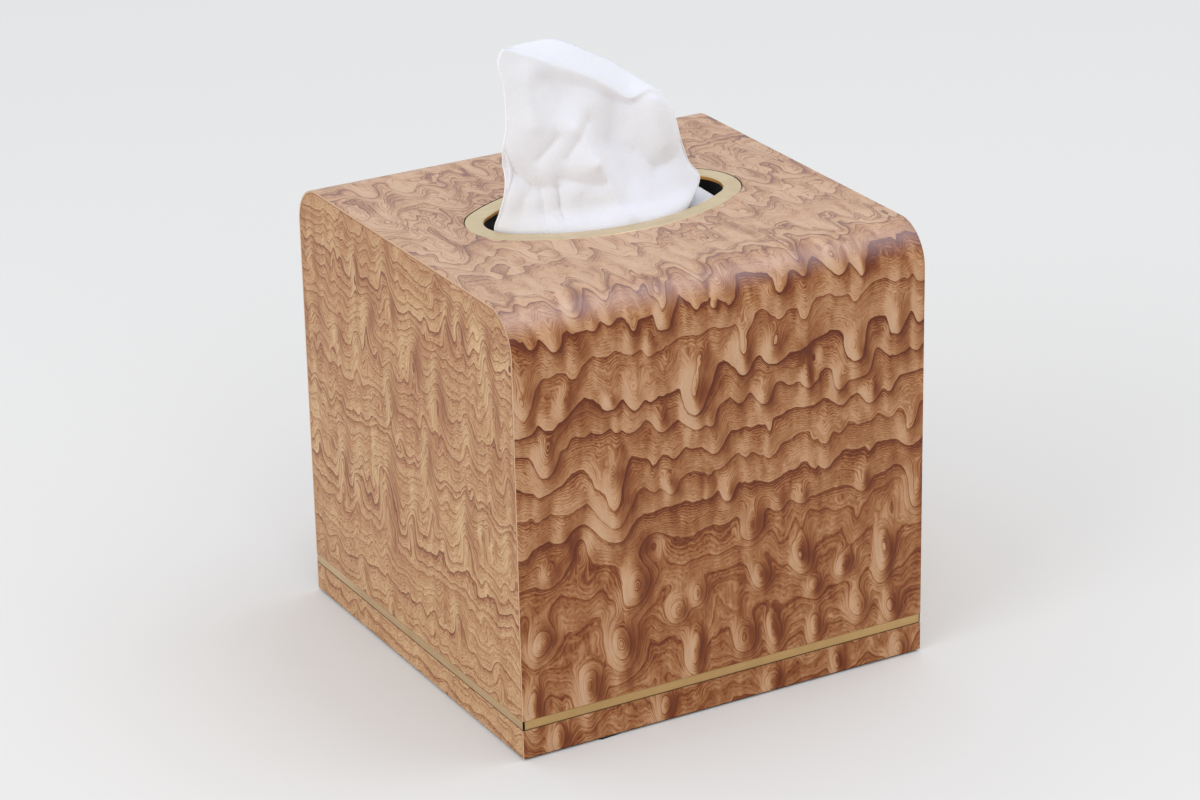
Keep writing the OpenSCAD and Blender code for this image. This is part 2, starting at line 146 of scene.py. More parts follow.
class Formulas:
    """A node tree whose nodes are added by formulas."""

    def __init__(self, tree):
        self.tree = tree
        tree.nodes.clear()

    def plug(self, value, socket):
        """Links a wire to the socket, or writes a number or a colour into it."""
        if isinstance(value, Wire):
            self.tree.links.new(value.socket, socket)
        else:
            socket.default_value = value

    def node(self, kind, values=(), output=0, **settings):
        """Adds a node, sets its properties, plugs its inputs by place or by name, and returns one output."""
        node = self.tree.nodes.new(kind)
        for key, value in settings.items():
            setattr(node, key, value)
        for key, value in values.items() if isinstance(values, dict) else enumerate(values):
            self.plug(value, node.inputs[key])
        return Wire(self, node.outputs[output])

    def outputs(self, kind, value):
        """All outputs of a new node with one input."""
        return [Wire(self, socket) for socket in self.node(kind, [value]).socket.node.outputs]

    def math(self, operation, *values):
        return self.node("ShaderNodeMath", values, operation=operation)

    def least(self, a, b):
        return self.math("MINIMUM", a, b)

    def most(self, a, b):
        return self.math("MAXIMUM", a, b)

    def clip(self, a):
        """The value, kept between 0 and 1."""
        return self.node("ShaderNodeClamp", [a])

    def exp(self, a):
        """e to the power of a."""
        return self.math("POWER", E, a)

    def step(self, a, start, end):
        """0 before start, 1 after end, smooth between."""
        ends = {"Value": a, "From Min": start, "From Max": end}
        return self.node("ShaderNodeMapRange", ends, interpolation_type="SMOOTHSTEP")

    def hill(self, a, middle, half):
        """1 at middle, falling off as a bell curve of that half width."""
        away = (a - middle) / half
        return self.exp(away * away * -1)

    def place(self):
        """x, y and z in millimetres, from the piece's own coordinates."""
        here = self.node("ShaderNodeTexCoord", output="Object")
        return [part * (1 / MM) for part in self.outputs("ShaderNodeSeparateXYZ", here)]

    def facing(self):
        """The unbent surface normal's x, y and z, in the piece's own axes."""
        return self.outputs("ShaderNodeSeparateXYZ", self.node("ShaderNodeTexCoord", output="Normal"))

    def point(self, x, y, z=0.0):
        return self.node("ShaderNodeCombineXYZ", [x, y, z])

    def noise(self, x, y, z, detail=2.0, roughness=0.5):
        """Smooth noise from 0 to 1 round a half, with features about one unit of x, y and z apart."""
        inputs = {"Vector": self.point(x, y, z), "Scale": 1.0, "Detail": detail, "Roughness": roughness}
        return self.node("ShaderNodeTexNoise", inputs)

    def wander(self, value):
        """Smooth noise along one value."""
        return self.node("ShaderNodeTexNoise", {"W": value, "Scale": 1.0, "Detail": 0.0}, noise_dimensions="1D")

    def dice(self, value):
        """An unrelated number from 0 to 1 for each value."""
        return self.node("ShaderNodeTexWhiteNoise", {"W": value}, noise_dimensions="1D")

    def blend(self, share, a, b):
        """A colour that goes from a to b."""
        return self.node("ShaderNodeMix", {0: share, 6: a, 7: b}, output=2, data_type="RGBA")

    def scale(self, value, stops, interpolation="LINEAR"):
        """The colour at a value from 0 to 1 on a scale of (place, colour) stops, and its fourth number apart."""
        shown, fourth = self.outputs("ShaderNodeValToRGB", value)
        scale = shown.socket.node.color_ramp
        scale.interpolation = interpolation
        scale.elements.remove(scale.elements[1])
        for at, _ in stops[1:]:
            scale.elements.new(at)
        for element, (at, numbers) in zip(scale.elements, stops):
            element.position, element.color = at, numbers
        return shown, fourth


class Recipe(Formulas):
    """A material with one Principled shader, whose other nodes are added by formulas."""

    def __init__(self, name, **settings):
        self.material = bpy.data.materials.new(name)
        self.material.use_nodes = True
        super().__init__(self.material.node_tree)
        self.surface = self.tree.nodes.new("ShaderNodeBsdfPrincipled")
        output = self.tree.nodes.new("ShaderNodeOutputMaterial")
        self.tree.links.new(self.surface.outputs[0], output.inputs["Surface"])
        self.set(**settings)

    def set(self, **settings):
        """Sets sockets of the Principled shader, named with underscores for spaces."""
        for key, value in settings.items():
            self.plug(value, self.surface.inputs[key.replace("_", " ")])

    def bump(self, height, distance, strength=1.0):
        """Raises the surface by height, from 0 to 1, times distance in metres."""
        relief = {"Height": height, "Distance": distance, "Strength": strength}
        self.set(Normal=self.node("ShaderNodeBump", relief))

    def finish(self, face, *relief):
        """Sets the colour, adds the bump and returns the material."""
        self.set(Base_Color=face)
        self.bump(*relief)
        return self.material


def dress(names, material):
    """Gives the CAD nodes this material in every slot."""
    for name in names:
        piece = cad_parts[name]
        piece.data.materials.clear()
        piece.data.materials.append(material)


def put(name, data):
    """An object with this data at the origin."""
    thing = bpy.data.objects.new(name, data)
    bpy.context.scene.collection.objects.link(thing)
    return thing


def new_piece(name, points, faces, smooth=True):
    """A piece with a mesh of these points and faces."""
    mesh = bpy.data.meshes.new(name)
    mesh.from_pydata(points.tolist(), [], faces)
    mesh.polygons.foreach_set("use_smooth", np.full(len(mesh.polygons), smooth))
    mesh.update()
    return put(name, mesh)


def quads(place):
    """One quad between each four neighbours in a grid of point numbers."""
    return np.stack([place[:-1, :-1], place[:-1, 1:], place[1:, 1:], place[1:, :-1]], -1).reshape(-1, 4).tolist()


def grid_piece(name, points, smooth=True):
    """A piece from a grid of points (rows, columns, 3)."""
    rows, columns = points.shape[:2]
    place = np.arange(rows * columns).reshape(rows, columns)
    return new_piece(name, points.reshape(-1, 3), quads(place), smooth)


def paper_piece(name, points, thickness):
    """A sheet of paper from a grid of points on its middle."""
    piece = grid_piece(name, points)
    paper = piece.modifiers.new("paper", "SOLIDIFY")
    paper.thickness, paper.offset = thickness, 0.0
    return piece


def veneer_figure(recipe, across, along, leaf):
    """The height of the growth rings under the leaf's surface in millimetres, the slope of its lobes, the lobes.

    The rings rise along the leaf, tilt and sway a little, and bulge in lobes. A lobe is a dome over the nearest
    point of a scattered lattice, (1 - reach times distance squared) squared, longer along the leaf than across
    it, and as high as smooth noise says there. Two lattices of lobes overlap. The large lobes are bells at listed
    places: depth times e to the minus squared distance, in half widths and half heights. The slope is what
    a step to the right adds.
    """
    seed = leaf.seed
    bend_x = recipe.noise(across / 11, along / 11, seed, 0.0) - 0.5
    bend_v = recipe.noise(across / 11, along / 11, seed + 31, 0.0) - 0.5
    bent_x, bent_v = across + bend_x * leaf.warp, along + bend_v * leaf.warp
    strength = sum(recipe.step(along, start, end) * amount for start, end, amount in leaf.strength)

    def lattice(shift, wide, tall, number):
        here = recipe.point((bent_x + shift) / wide + (number * 5.3 + seed), bent_v / tall + number * 3.1)
        inputs = {"Vector": here, "Scale": 1.0, "Randomness": 0.85}
        away = recipe.node("ShaderNodeTexVoronoi", inputs, voronoi_dimensions="2D")
        dome = recipe.most(1 - away * away * leaf.reach, 0)
        return dome * dome

    tall_here = recipe.clip(recipe.noise(across / 8, along / leaf.column, seed + 13, 0.5) * 3 - leaf.calm)
    small_here = recipe.clip(recipe.noise(across / 6, along / 8, seed + 17, 0.5) * 3 - 1.2) * 0.5

    def lattices(shift):
        large = lattice(shift, leaf.lobe_w, leaf.lobe_h, 1) * tall_here
        return large + lattice(shift, leaf.lobe_w * 0.62, leaf.lobe_h * 0.58, 2) * small_here

    hung = lattices(0.0) * strength
    slope = (lattices(LOBE_STEP) - lattices(-LOBE_STEP)) * strength
    share = (bent_x + LEAF_HALF) / (2 * LEAF_HALF)
    for row in lobe_rows(leaf.lobes):
        middle, half_h = recipe.scale(share, [(at, lobe_code(lobe)) for at, lobe in row], "CONSTANT")
        depths = [(at, (0, 0, 0, 0.5 + lobe[4] / LOBE_DEPTH)) for at, lobe in row]
        depth = (recipe.scale(share, depths, "CONSTANT")[1] - 0.5) * LOBE_DEPTH
        x, v, half_w = recipe.outputs("ShaderNodeSeparateColor", middle)
        off_x = (share - x) / (half_w * (LOBE_SIZE / 2 / LEAF_HALF))
        off_v = (bent_v - v * LEAF_LONG) / (half_h * LOBE_SIZE)
        bell = recipe.math("POWER", ONE_BY_E, off_x * off_x + off_v * off_v) * depth
        hung = hung + bell
        slope = slope - bell * off_x / half_w * (4 * LOBE_STEP / LOBE_SIZE)
    sway = recipe.noise(across / 34, along / 26, seed + 3) - 0.5
    ripple = recipe.noise(across / leaf.ripple_w, along / leaf.ripple_h, seed + 41, 0.0) - 0.5
    shake = recipe.noise(across / 3.2, along / 4.5, seed + 9, 1.0) - 0.5
    rise = recipe.least(along, leaf.bend) * leaf.low_slope + recipe.most(along - leaf.bend, 0)
    rise = rise - recipe.least(recipe.most(along - LEVEL_FROM, 0), LEVEL_RUN) * leaf.top_level
    height = rise + across * leaf.tilt + sway * leaf.sway + ripple * leaf.ripple + shake * leaf.shake
    return height + hung * leaf.way, slope, hung


def growth_rings(recipe, height, leaf):
    """How far across its ring a height lies, from 0 to 1, and how dark that ring is. The ends of the first rings
    are listed; the others are a pitch apart, more or less."""
    seed = leaf.seed
    ring = height / leaf.pitch
    ring = ring + (recipe.wander(ring * 0.9 + seed) - 0.5) * 0.9
    count = recipe.math("FLOOR", ring)
    part = ring - count
    strength = recipe.dice(count + seed) * leaf.uneven + (1 - leaf.uneven)
    if leaf.rings:
        last = leaf.rings[-1][0]
        span = last + LEAF_HALF
        stops = []
        for (start, _), (end, dark) in zip([(-LEAF_HALF, 0)] + leaf.rings, leaf.rings):
            off = start + LEAF_HALF
            stops.append((off / span, (off / LEAF_LONG, (end - start) / LEAF_LONG, dark, 1)))
        code = recipe.scale(recipe.clip((height + LEAF_HALF) / span), stops, "CONSTANT")[0]
        start, wide, dark = recipe.outputs("ShaderNodeSeparateColor", code)
        listed = height < last
        here = recipe.clip((height + LEAF_HALF - start * LEAF_LONG) / (wide * LEAF_LONG))
        part = part + (here - part) * listed
        strength = strength + (dark - strength) * listed
    return part, strength


def lobe_code(lobe):
    """A lobe's place and half sizes, each as a number from 0 to 1."""
    x, v, half_w, half_h = lobe[:4]
    return (x + LEAF_HALF) / (2 * LEAF_HALF), v / LEAF_LONG, half_w / LOBE_SIZE, half_h / LOBE_SIZE


def lobe_rows(lobes):
    """Sorts the lobes into few rows that keep them apart across the leaf, each as (start of its stretch, lobe)."""
    rows = []
    for lobe in sorted(lobes):
        for row in rows:
            last = row[-1]
            if lobe[0] - last[0] > 1.7 * (lobe[2] + last[2]):
                row.append(lobe)
                break
        else:
            rows.append([lobe])
    for row in rows:
        starts = [0.0]
        for left, right in zip(row, row[1:]):
            edge = (left[0] * right[2] + right[0] * left[2]) / (left[2] + right[2])
            starts.append((edge + LEAF_HALF) / (2 * LEAF_HALF))
        yield list(zip(starts, row))


def veneer_material(name, leaf, colours, plane):
    """Figured veneer under satin lacquer, with rings read from the height of veneer_figure(), and its colour.

    A ring starts at a sharp dark line and fades over its width; its darkness differs from ring to ring. Finer
    rings run beside it. Pores follow the rings as short strokes, densest where a ring is dark. The lobes' slopes
    shade the leaf from left to right: painted shading, as if each lobe were lit from one side, for the way wavy
    fibres catch the light. On top the leaf is paler, a painted sheen of the light that falls on the top, and its
    lines are crisper.
    """
    recipe = Recipe(name, Roughness=0.5, Specular_IOR_Level=0.14, Coat_Weight=0.32, Coat_Roughness=0.22)
    across, along = plane(recipe)
    height, slope, lobes = veneer_figure(recipe, across, along, leaf)
    seed = leaf.seed
    shiver = recipe.noise(across / 1.6, along / 2.4, seed + 37, 1.0)
    part, strength = growth_rings(recipe, height + (shiver - 0.5) * leaf.rough, leaf)
    top = recipe.step(along, *TOP_STARTS) * recipe.step(along, *TOP_ENDS) * leaf.top_calm
    crisp = top + 1
    fade = recipe.exp((part - 1) * leaf.fade) * strength
    line = recipe.exp((part - 1) * leaf.line * crisp) * strength
    fine = height / leaf.fine_pitch
    fine = fine + (recipe.wander(fine * 0.8 + seed) - 0.5) * 0.9
    fine_count = recipe.math("FLOOR", fine)
    fine_line = recipe.exp((fine - fine_count - 1) * leaf.fine_line * crisp) * recipe.dice(fine_count + seed)
    hair = recipe.math("SINE", height * (FULL_TURN / leaf.hair_pitch) + shiver * 5) * 0.5 + 0.5
    patch = recipe.noise(across / 19, along / 26, seed + 11, 1.5) - 0.5
    cloud = recipe.noise(across / 3.6, along / 9, seed + 23, 1.0) - 0.5
    pores = recipe.step(recipe.noise(across / 1.3, height / leaf.pore, seed + 5, 1.5, 0.6), 0.46, 0.7)
    fibre = recipe.noise(across / 5, along / 0.3, seed + 29, 2.0, 0.6) - 0.5
    low = recipe.step(along, leaf.bend + 12, leaf.bend - 8)
    dark = line * (leaf.line_dark + top * 0.6) + fade * (leaf.band + top * 0.05)
    dark = dark * (1 - low * leaf.low_calm)
    dark = dark + fine_line * (low * leaf.low_fine + leaf.fine_dark) * (1 + top * 2.3)
    dark = dark + patch * leaf.patch + cloud * leaf.cloud * (1 - top * 0.55) + fibre * 0.12
    # Painted shading: the slope term darkens one side of each lobe and lightens the other, as if lit from one
    # side.
    dark = dark - slope * leaf.relief * (1 - top * 0.45) - recipe.least(lobes, 14) * leaf.glow
    dark = dark + pores * (leaf.pore_dark + leaf.pore_band * fade)
    dark = dark + hair * (fade + 0.2) * leaf.hair * (1 - top * 0.7)
    for start, end, amount in leaf.tone:
        dark = dark + recipe.step(along, start, end) * amount
    # On top the leaf is drawn paler: a painted sheen of the light that falls there.
    dark = recipe.clip((dark + leaf.base - top * 0.19) * (0.75 + top * 0.2) + 0.25)
    recipe.bump(1 - (pores * 0.7 + line * 0.4), 0.00006)
    pale, middle, deep, darkest = colours
    stops = [(0.0, tinted(pale, 1.13, 1.28, 1.48)), (0.25, pale), (0.475, middle), (0.715, deep), (1.0, darkest)]
    return recipe, recipe.scale(dark, stops)[0]


def wrap_plane(recipe):
    """Places on the wrap-around leaf: x across it, and along it the way up the front, over both rounded edges
    and down the back. Up the front it is z, round an edge the radius times the angle turned, on top y.
    """
    x, y, z = recipe.place()
    centre_y, centre_z = HALF_D - EDGE_R, TOP - EDGE_R
    whole = 2 * centre_z + pi * EDGE_R + 2 * centre_y

    def from_foot(towards_back):
        run = y * towards_back + centre_y
        turned = recipe.math("ARCTAN2", recipe.most(z - centre_z, 0), recipe.most(run * -1, 0.001))
        return recipe.least(z, centre_z) + turned * EDGE_R + recipe.most(run, 0)

    return x, recipe.node("ShaderNodeMix", {0: y > 0.0, 2: from_foot(1), 3: whole - from_foot(-1)})


def side_plane(recipe):
    """Places on a side leaf: y across it, and z along it."""
    return recipe.place()[1:]


def turned_side_plane(recipe):
    """The same for the left side, where y runs to the left as seen from outside."""
    y, z = side_plane(recipe)
    return y * -1, z


# Sizes in millimetres: half a leaf's width and its length, the step that the slope of a lobe is read over, the
# largest half size and twice the largest depth of a lobe, the stretches of the leaf in which the look of the top
# comes and goes, and where the rings rise more slowly.
LEAF_HALF, LEAF_LONG = 70.0, 410.0
LOBE_STEP, LOBE_SIZE, LOBE_DEPTH = 0.8, 25.0, 50.0
TOP_STARTS, TOP_ENDS = (136, 150), (275, 261)
LEVEL_FROM, LEVEL_RUN = 145, 112
# Large lobes, as (x, place along the leaf, half width, half height, depth).
FRONT_LOBES = [
    (-66, 111, 4.5, 8, 8), (-60, 94, 4, 9, 12), (-53, 112, 2.4, 5, 7), (-39, 107.5, 1.8, 2.6, 6),
    (-31, 127, 2.6, 6, 7), (-25, 122, 2.4, 5, 6), (-27, 109, 7, 7, 6), (-21.7, 98, 3, 6, 8),
    (-9.5, 104, 4.6, 11, 18), (6.7, 113, 2.6, 6, 8), (17, 112, 3.4, 6, 9), (28.5, 100, 2.4, 5, 6),
    (31, 107, 2.4, 4, -7), (45, 105, 4, 8, 12), (60, 112, 2.6, 5, 8), (-3.3, 130, 1.4, 2, 5),
    (14, 99, 3, 5, 7), (40, 96, 3, 5, 6), (51.6, 92, 2.6, 4, 8), (-18.5, 77, 2.2, 4, 5), (-56, 129, 2.8, 5, 7),
    (-20, 129, 2.6, 4, 6), (20, 131, 3, 5, 7), (49, 131, 2, 4, 6), (-39, 84, 2.4, 3, 6),
    (-20, 78, 2, 2.5, 3), (65, 77, 3.5, 6, 7), (-37.5, 73, 5.4, 10, 15), (-49, 65, 3.3, 7, -9),
    (1.7, 71, 2.4, 5, 7), (-25, 59, 3.2, 4.2, -8), (-31, 47, 4.2, 7, 15), (-36, 28, 4.8, 9, 17.5),
    (-47.5, 18, 4.4, 8, 15), (-63.5, 36, 3.8, 5, 13.8), (-17.5, 36, 3.4, 4.4, 10), (-10, 40, 2.8, 4.4, 8.8),
    (-11, 20, 3, 8, 13.8), (11.5, 40, 3.2, 5, 11.2), (9, 57.5, 3.6, 5.6, 11.2), (6.5, 21, 3.8, 5.4, 10),
    (26.5, 63, 2.2, 3.6, 5), (19, 63, 2.2, 4, 4), (48, 63, 2.4, 3.4, 6), (41.5, 36.5, 2.8, 3.6, 12.5),
    (26.5, 43, 3, 7, 10), (56.5, 36.5, 3.4, 8.5, 11.2), (16.5, 20, 2.6, 7, 8.8), (31, 32, 2.6, 3.6, 8.8),
    (31, 18, 2.6, 5, 8.8), (59, 18, 3, 5, 10), (46.5, 21, 3.6, 4.6, 8.8), (68, 56, 4, 9, 12.5),
    (-60, 58, 3.4, 4, 7.5), (-66, 16, 3, 7, 11.2), (-58, 3, 3, 6, 10), (-22, 4, 3.4, 6, 10), (16, 3, 3, 5, 10),
    (40, 4, 2.6, 5, 8.8), (62, 2, 3.6, 6, 10), (22, 156, 3, 8, 7), (46, 155, 2.6, 6, 6),
    (58, 158, 2.8, 7, 6), (-15, 166, 4.6, 11, 9), (33, 175, 2.6, 4.4, 6), (8, 160, 4.6, 6, 5),
    (-35, 175, 7, 4, 5), (-58, 196, 4, 6.5, 7), (50, 205, 2.6, 4.4, 7), (-57, 166, 2, 4, 6),
    (-50, 166, 2, 4, 6), (-39, 251, 4, 5, 7), (-26, 239, 2.6, 3, 6),
]
LEFT_LOBES = [
    (-63, 60, 4, 12, 8), (-46, 52, 3.4, 9, 9), (-36, 50, 2.6, 8, 6), (-15, 56, 4.6, 18, 11),
    (-15, 18, 2.8, 5, 5), (1, 48, 2.6, 7, 7), (13, 72, 3.4, 14, 9), (21, 98, 3.8, 10, 10),
    (37, 62, 4.4, 12, 10), (57, 108, 3.8, 12, 9), (-31, 124, 2.6, 7, 8), (-24, 110, 4, 9, 12),
    (7, 106, 4, 9, 11), (-7, 118, 2.6, 6, 8), (30, 126, 2.8, 7, 8), (38, 127, 3, 7, 9),
    (53, 124, 4, 8, 12), (-46, 96, 3, 4.4, 10), (30, 30, 3, 8, 7), (57, 23, 4, 7, 7),
    (21, 32, 2.4, 6, 4), (-61, 118, 3, 7, 6), (-11, 88, 3, 6, 6), (47, 65, 1.8, 3, 6),
    (55, 63, 1.8, 3, 6), (65, 65, 2.6, 6, 7), (-54, 22, 2.6, 4, 4), (-35, 20, 2.2, 4, 4),
]
WRAP_LEAF = SimpleNamespace(
    seed=3.0, lobe_w=9.5, lobe_h=24.0, reach=2.0, calm=1.0, warp=3.0, column=30.0, way=1, pitch=8.5,
    fine_pitch=2.1, fine_line=2.6, fade=2.9, line=20.0, line_dark=0.4, band=0.44, rough=0.8, uneven=0.6,
    fine_dark=0.3, hair_pitch=0.85, hair=0.5, top_calm=1.0, top_level=0.45, low_calm=0.6, low_fine=0.22,
    glow=0.018, patch=0.45, cloud=0.6, relief=0.115, base=0.05, bend=60.0, low_slope=0.42, tilt=-0.05, sway=6.0,
    ripple=3.5, ripple_w=8.0, ripple_h=16.0, shake=0.5, pore=0.32, pore_dark=0.2, pore_band=0.5,
    rings=[
        (-14, 0.3), (-8, 0.4), (-1, 0.3), (6, 0.4), (12, 0.35), (19, 0.4), (26.5, 0.45), (37, 0.85),
        (46.5, 0.6), (55.5, 0.7), (66.5, 0.8), (77.5, 1.0), (89.5, 0.4), (101.5, 1.0),
    ],
    strength=[(-5.0, 5.0, 2.2), (60.0, 75.0, 3.8), (126.0, 140.0, 6.0), (262.0, 285.0, -5.0)],
    tone=[(75.0, 55.0, 0.13)], lobes=FRONT_LOBES,
)
SIDE_LEAF = SimpleNamespace(
    seed=21.0, lobe_w=12.0, lobe_h=42.0, reach=2.6, calm=1.1, warp=4.0, column=40.0, way=-1, pitch=3.6,
    fine_pitch=1.2, fine_line=4.0, fade=2.2, line=8.0, line_dark=0.46, band=0.32, rough=0.4, uneven=0.6,
    fine_dark=0.34, hair_pitch=0.6, hair=0.16, top_calm=0.0, top_level=0.0, low_calm=0.0, low_fine=0.0,
    glow=0.0, patch=0.35, cloud=0.28, relief=0.058, base=0.05, bend=60.0, low_slope=0.8, tilt=0.02, sway=7.0,
    ripple=3.5, ripple_w=10.0, ripple_h=22.0, shake=0.5, pore=0.4, pore_dark=0.26, pore_band=0.5,
    rings=[], strength=[(-5.0, 5.0, 4.5), (35.0, 60.0, 3.5)],
    tone=[(50.0, 90.0, 0.04)], lobes=LEFT_LOBES,
)


def speckle(recipe, size, detail=2.0, roughness=0.6):
    """Noise with features of that size, in millimetres, on the piece's own coordinates."""
    x, y, z = recipe.place()
    return recipe.noise(x / size, y / size, z / size, detail, roughness)


def brass_material(name, shown, brush, edges=(), end=None):
    """Satin brass with fine brush marks, darker where it meets the wood at the heights in edges, and black in the
    gaps under it and past its end. Upright faces without edges, in the opening, are a deeper, warmer gold."""
    recipe = Recipe(name, Metallic=1.0)
    x, y, z = recipe.place()
    marks = recipe.noise(x / brush[0], y / brush[1], z / brush[2], 3.0)
    cloudy = speckle(recipe, 9.0)
    edge_dark = sum(recipe.hill(z, level, half) for level, half in edges)
    tone = (marks - 0.5) * 0.5 + (cloudy - 0.5) * 0.4 + edge_dark * 0.55 + 0.3
    face = recipe.blend(recipe.clip(tone), tinted(shown, 1.1, 1.12, 1.2), tinted(shown, 0.52, 0.46, 0.38))
    if edges:
        foot = edges[0][0]
        gap = recipe.step(z, foot + 0.3, foot + 0.1) * 0.8
        if end:
            gap = recipe.most(gap, recipe.step(abs(x), end - 0.1, end + 0.05))
        face = recipe.blend(gap, face, GAP_BLACK)
    else:
        wall = recipe.step(recipe.facing()[2], 0.75, 0.45)
        face = recipe.blend(wall, face, WARM_GOLD)
        recipe.set(Metallic=1 - wall * 0.5)
    recipe.set(Roughness=recipe.clip((marks - 0.5) * 0.25 + (cloudy - 0.5) * 0.15 + 0.36))
    return recipe.finish(face, marks, 0.00002)


def pile_material(name, shown, fibre, depth, sheen):
    """Black napped cloth: short fibres as noise at two scales, paler where they stand up."""
    recipe = Recipe(name, Roughness=0.95, Sheen_Weight=sheen, Sheen_Roughness=0.5, Specular_IOR_Level=0.2)
    fine, broad = speckle(recipe, fibre, 3.0, 0.7), speckle(recipe, fibre * 14)
    pale = tuple(c * 2.6 + 0.004 for c in shown[:3]) + (1.0,)
    return recipe.finish(recipe.blend(recipe.clip(fine * 1.4 + broad - 0.75), shown, pale), fine, depth)


def board_material(shown):
    """Sawn fibreboard: pressed fibres in fine specks, and long streaks left by the saw."""
    recipe = Recipe("fibreboard", Roughness=0.85)
    x, y, z = recipe.place()
    specks = speckle(recipe, 0.5, 3.0, 0.7)
    streaks = recipe.noise(x / 9, y / 9, z / 0.4)
    tone = recipe.clip((specks - 0.5) * 1.6 + (streaks - 0.5) * 0.5 + 0.45)
    return recipe.finish(recipe.blend(tone, tinted(shown, 0.5), shown), specks, 0.00008)


def card_material(shown, scores):
    """Coated card: faint cloudy fibres, scores pressed along the folded edges at two heights, the slits between
    the flaps of its ends and one glued seam, all drawn darker with painted shade."""
    recipe = Recipe("white card", Roughness=0.6)
    x, y, z = recipe.place()
    cloudy, fine = speckle(recipe, 3.0), speckle(recipe, 0.25, 2.0, 0.7)
    crease = recipe.hill(z, scores[0], 0.25) + recipe.hill(z, scores[1], 0.25)
    seam = recipe.hill(abs(x), CARTON_SEAM, 0.18) * (abs(y) > CARTON_SKIN)
    flaps = recipe.hill(y, 0.0, 0.15) * (abs(x) > CARTON_SKIN)
    # Painted shade along the scores, the slits between the flaps and the glued seam, with the card's cloudy tone.
    shade_lines_and_tone = recipe.clip((crease * 0.5 + seam * 0.8 + flaps * 0.9) + (cloudy - 0.5) * 0.25 + (fine - 0.5) * 0.1)
    pressed = 1 - recipe.clip(crease + seam + flaps) + fine * 0.2
    return recipe.finish(recipe.blend(shade_lines_and_tone, shown, tinted(shown, 0.62)), pressed, 0.0002)


def film_material(shown):
    """Thin clear film: mostly see-through, glossy, with slack ripples."""
    recipe = Recipe("clear film", Roughness=0.14, Alpha=0.28)
    ripples, smears = speckle(recipe, 14.0, 1.0), speckle(recipe, 4.0)
    return recipe.finish(recipe.blend(smears, shown, tinted(shown, 1.1)), ripples, 0.0015, 0.6)


def plated_material(shown):
    """Nickel plate on the magnets, with scuffs."""
    recipe = Recipe("nickel plate", Metallic=1.0)
    scuffs = speckle(recipe, 0.6, 3.0, 0.7)
    recipe.set(Roughness=recipe.clip(scuffs * 0.3 + 0.15))
    return recipe.finish(recipe.blend(scuffs, tinted(shown, 0.7), shown), scuffs, 0.00002)


def paper_material(shown, shadow):
    """Soft tissue: thin fluffy paper, a fine embossed grid of dots, faint pressed fibres, light through it.
    Where it faces up it is drawn bluer: painted light from above.
    """
    recipe = Recipe(
        "soft tissue", Roughness=0.95, Specular_IOR_Level=0.15, Sheen_Weight=0.25, Sheen_Roughness=0.6,
        Subsurface_Weight=0.35, Subsurface_Radius=(0.0013, 0.0012, 0.0011), Subsurface_Scale=1.0,
    )
    x, y, z = recipe.place()
    dots = recipe.math("SINE", (x + z) * 5.2) * recipe.math("SINE", (x - z) * 5.2)
    fibres = recipe.noise(x / 0.5, y / 0.5, z / 1.3, 3.0, 0.65)
    tone = recipe.clip((fibres - 0.5) * 0.5 + (speckle(recipe, 6.0) - 0.5) * 0.6 + 0.25)
    # Painted light from above: paper that faces up is drawn bluer.
    painted_top_light = recipe.step(recipe.facing()[2], 0.1, 0.9)
    face = recipe.blend(painted_top_light * 0.8, recipe.blend(tone, shown, shadow), PAINTED_LIGHT_FROM_ABOVE)
    return recipe.finish(face, dots * 0.25 + fibres, 0.00012, 0.6)


def through(knots, at):
    """A smooth curve through (place, numbers) knots: cubic pieces whose slope at a knot is its neighbours'."""
    knots = np.asarray(knots, float)
    place, value = knots[:, 0], knots[:, 1:]
    slope = np.gradient(value, place, axis=0)
    i = np.clip(np.searchsorted(place, at) - 1, 0, len(place) - 2)
    span = (place[i + 1] - place[i])[..., None]
    t = (at - place[i])[..., None] / span
    start, end = value[i], value[i + 1]
    return (
        (2 * t**3 - 3 * t**2 + 1) * start + (3 * t**2 - 2 * t**3) * end
        + ((t**3 - 2 * t**2 + t) * slope[i] + (t**3 - t**2) * slope[i + 1]) * span
    )


def ease(a, start, end):
    """0 before start, 1 after end, smooth between, for arrays."""
    t = np.clip((a - start) / (end - start), 0, 1)
    return t * t * (3 - 2 * t)


def stem(side, face):
    """The part of an edge that lies gathered in the slit: side is -1 on the left, face is -1 in front."""
    return [(at, x * side, y * face, z) for at, x, y, z in (
        (0, 20.3, 0.3, 110.8), (0.1, 22.9, 0.4, 119.5), (0.17, 25.2, 0.5, 125.4),
    )]


# Edges of the standing tissue in millimetres, as (share of the way up, x, y, z): its left and right edges in
# front and behind, and as (share across, x, y, z): the folds in front of and behind its upper strip. A swell is
# (share of the way up, how far the middle of a face bulges).
FRONT_LEFT = stem(-1, -1) + [
    (0.23, -33, -1.5, 130.5), (0.29, -37.4, -2.5, 135.5), (0.34, -39, -3, 140), (0.4, -37.6, -4, 145),
    (0.46, -36.3, -5, 150), (0.56, -35, -5, 158.9), (0.62, -36.2, -5, 164), (0.71, -35.3, -5, 171.8),
    (0.86, -35.7, -5, 185.3), (0.95, -37.2, -5, 193), (1, -35.6, -5.2, 196.2),
]
FRONT_RIGHT = stem(1, -1) + [
    (0.23, 21, -8, 131), (0.29, 19.2, -14, 136.5), (0.34, 25.2, -9.5, 139.8), (0.4, 32.7, -1.2, 143),
    (0.46, 29.8, -0.5, 146.8), (0.56, 27.6, 0, 152.5), (0.71, 25.8, 0, 160), (0.86, 23.8, 0, 166.5),
    (1, 21.8, 0.5, 169.8),
]
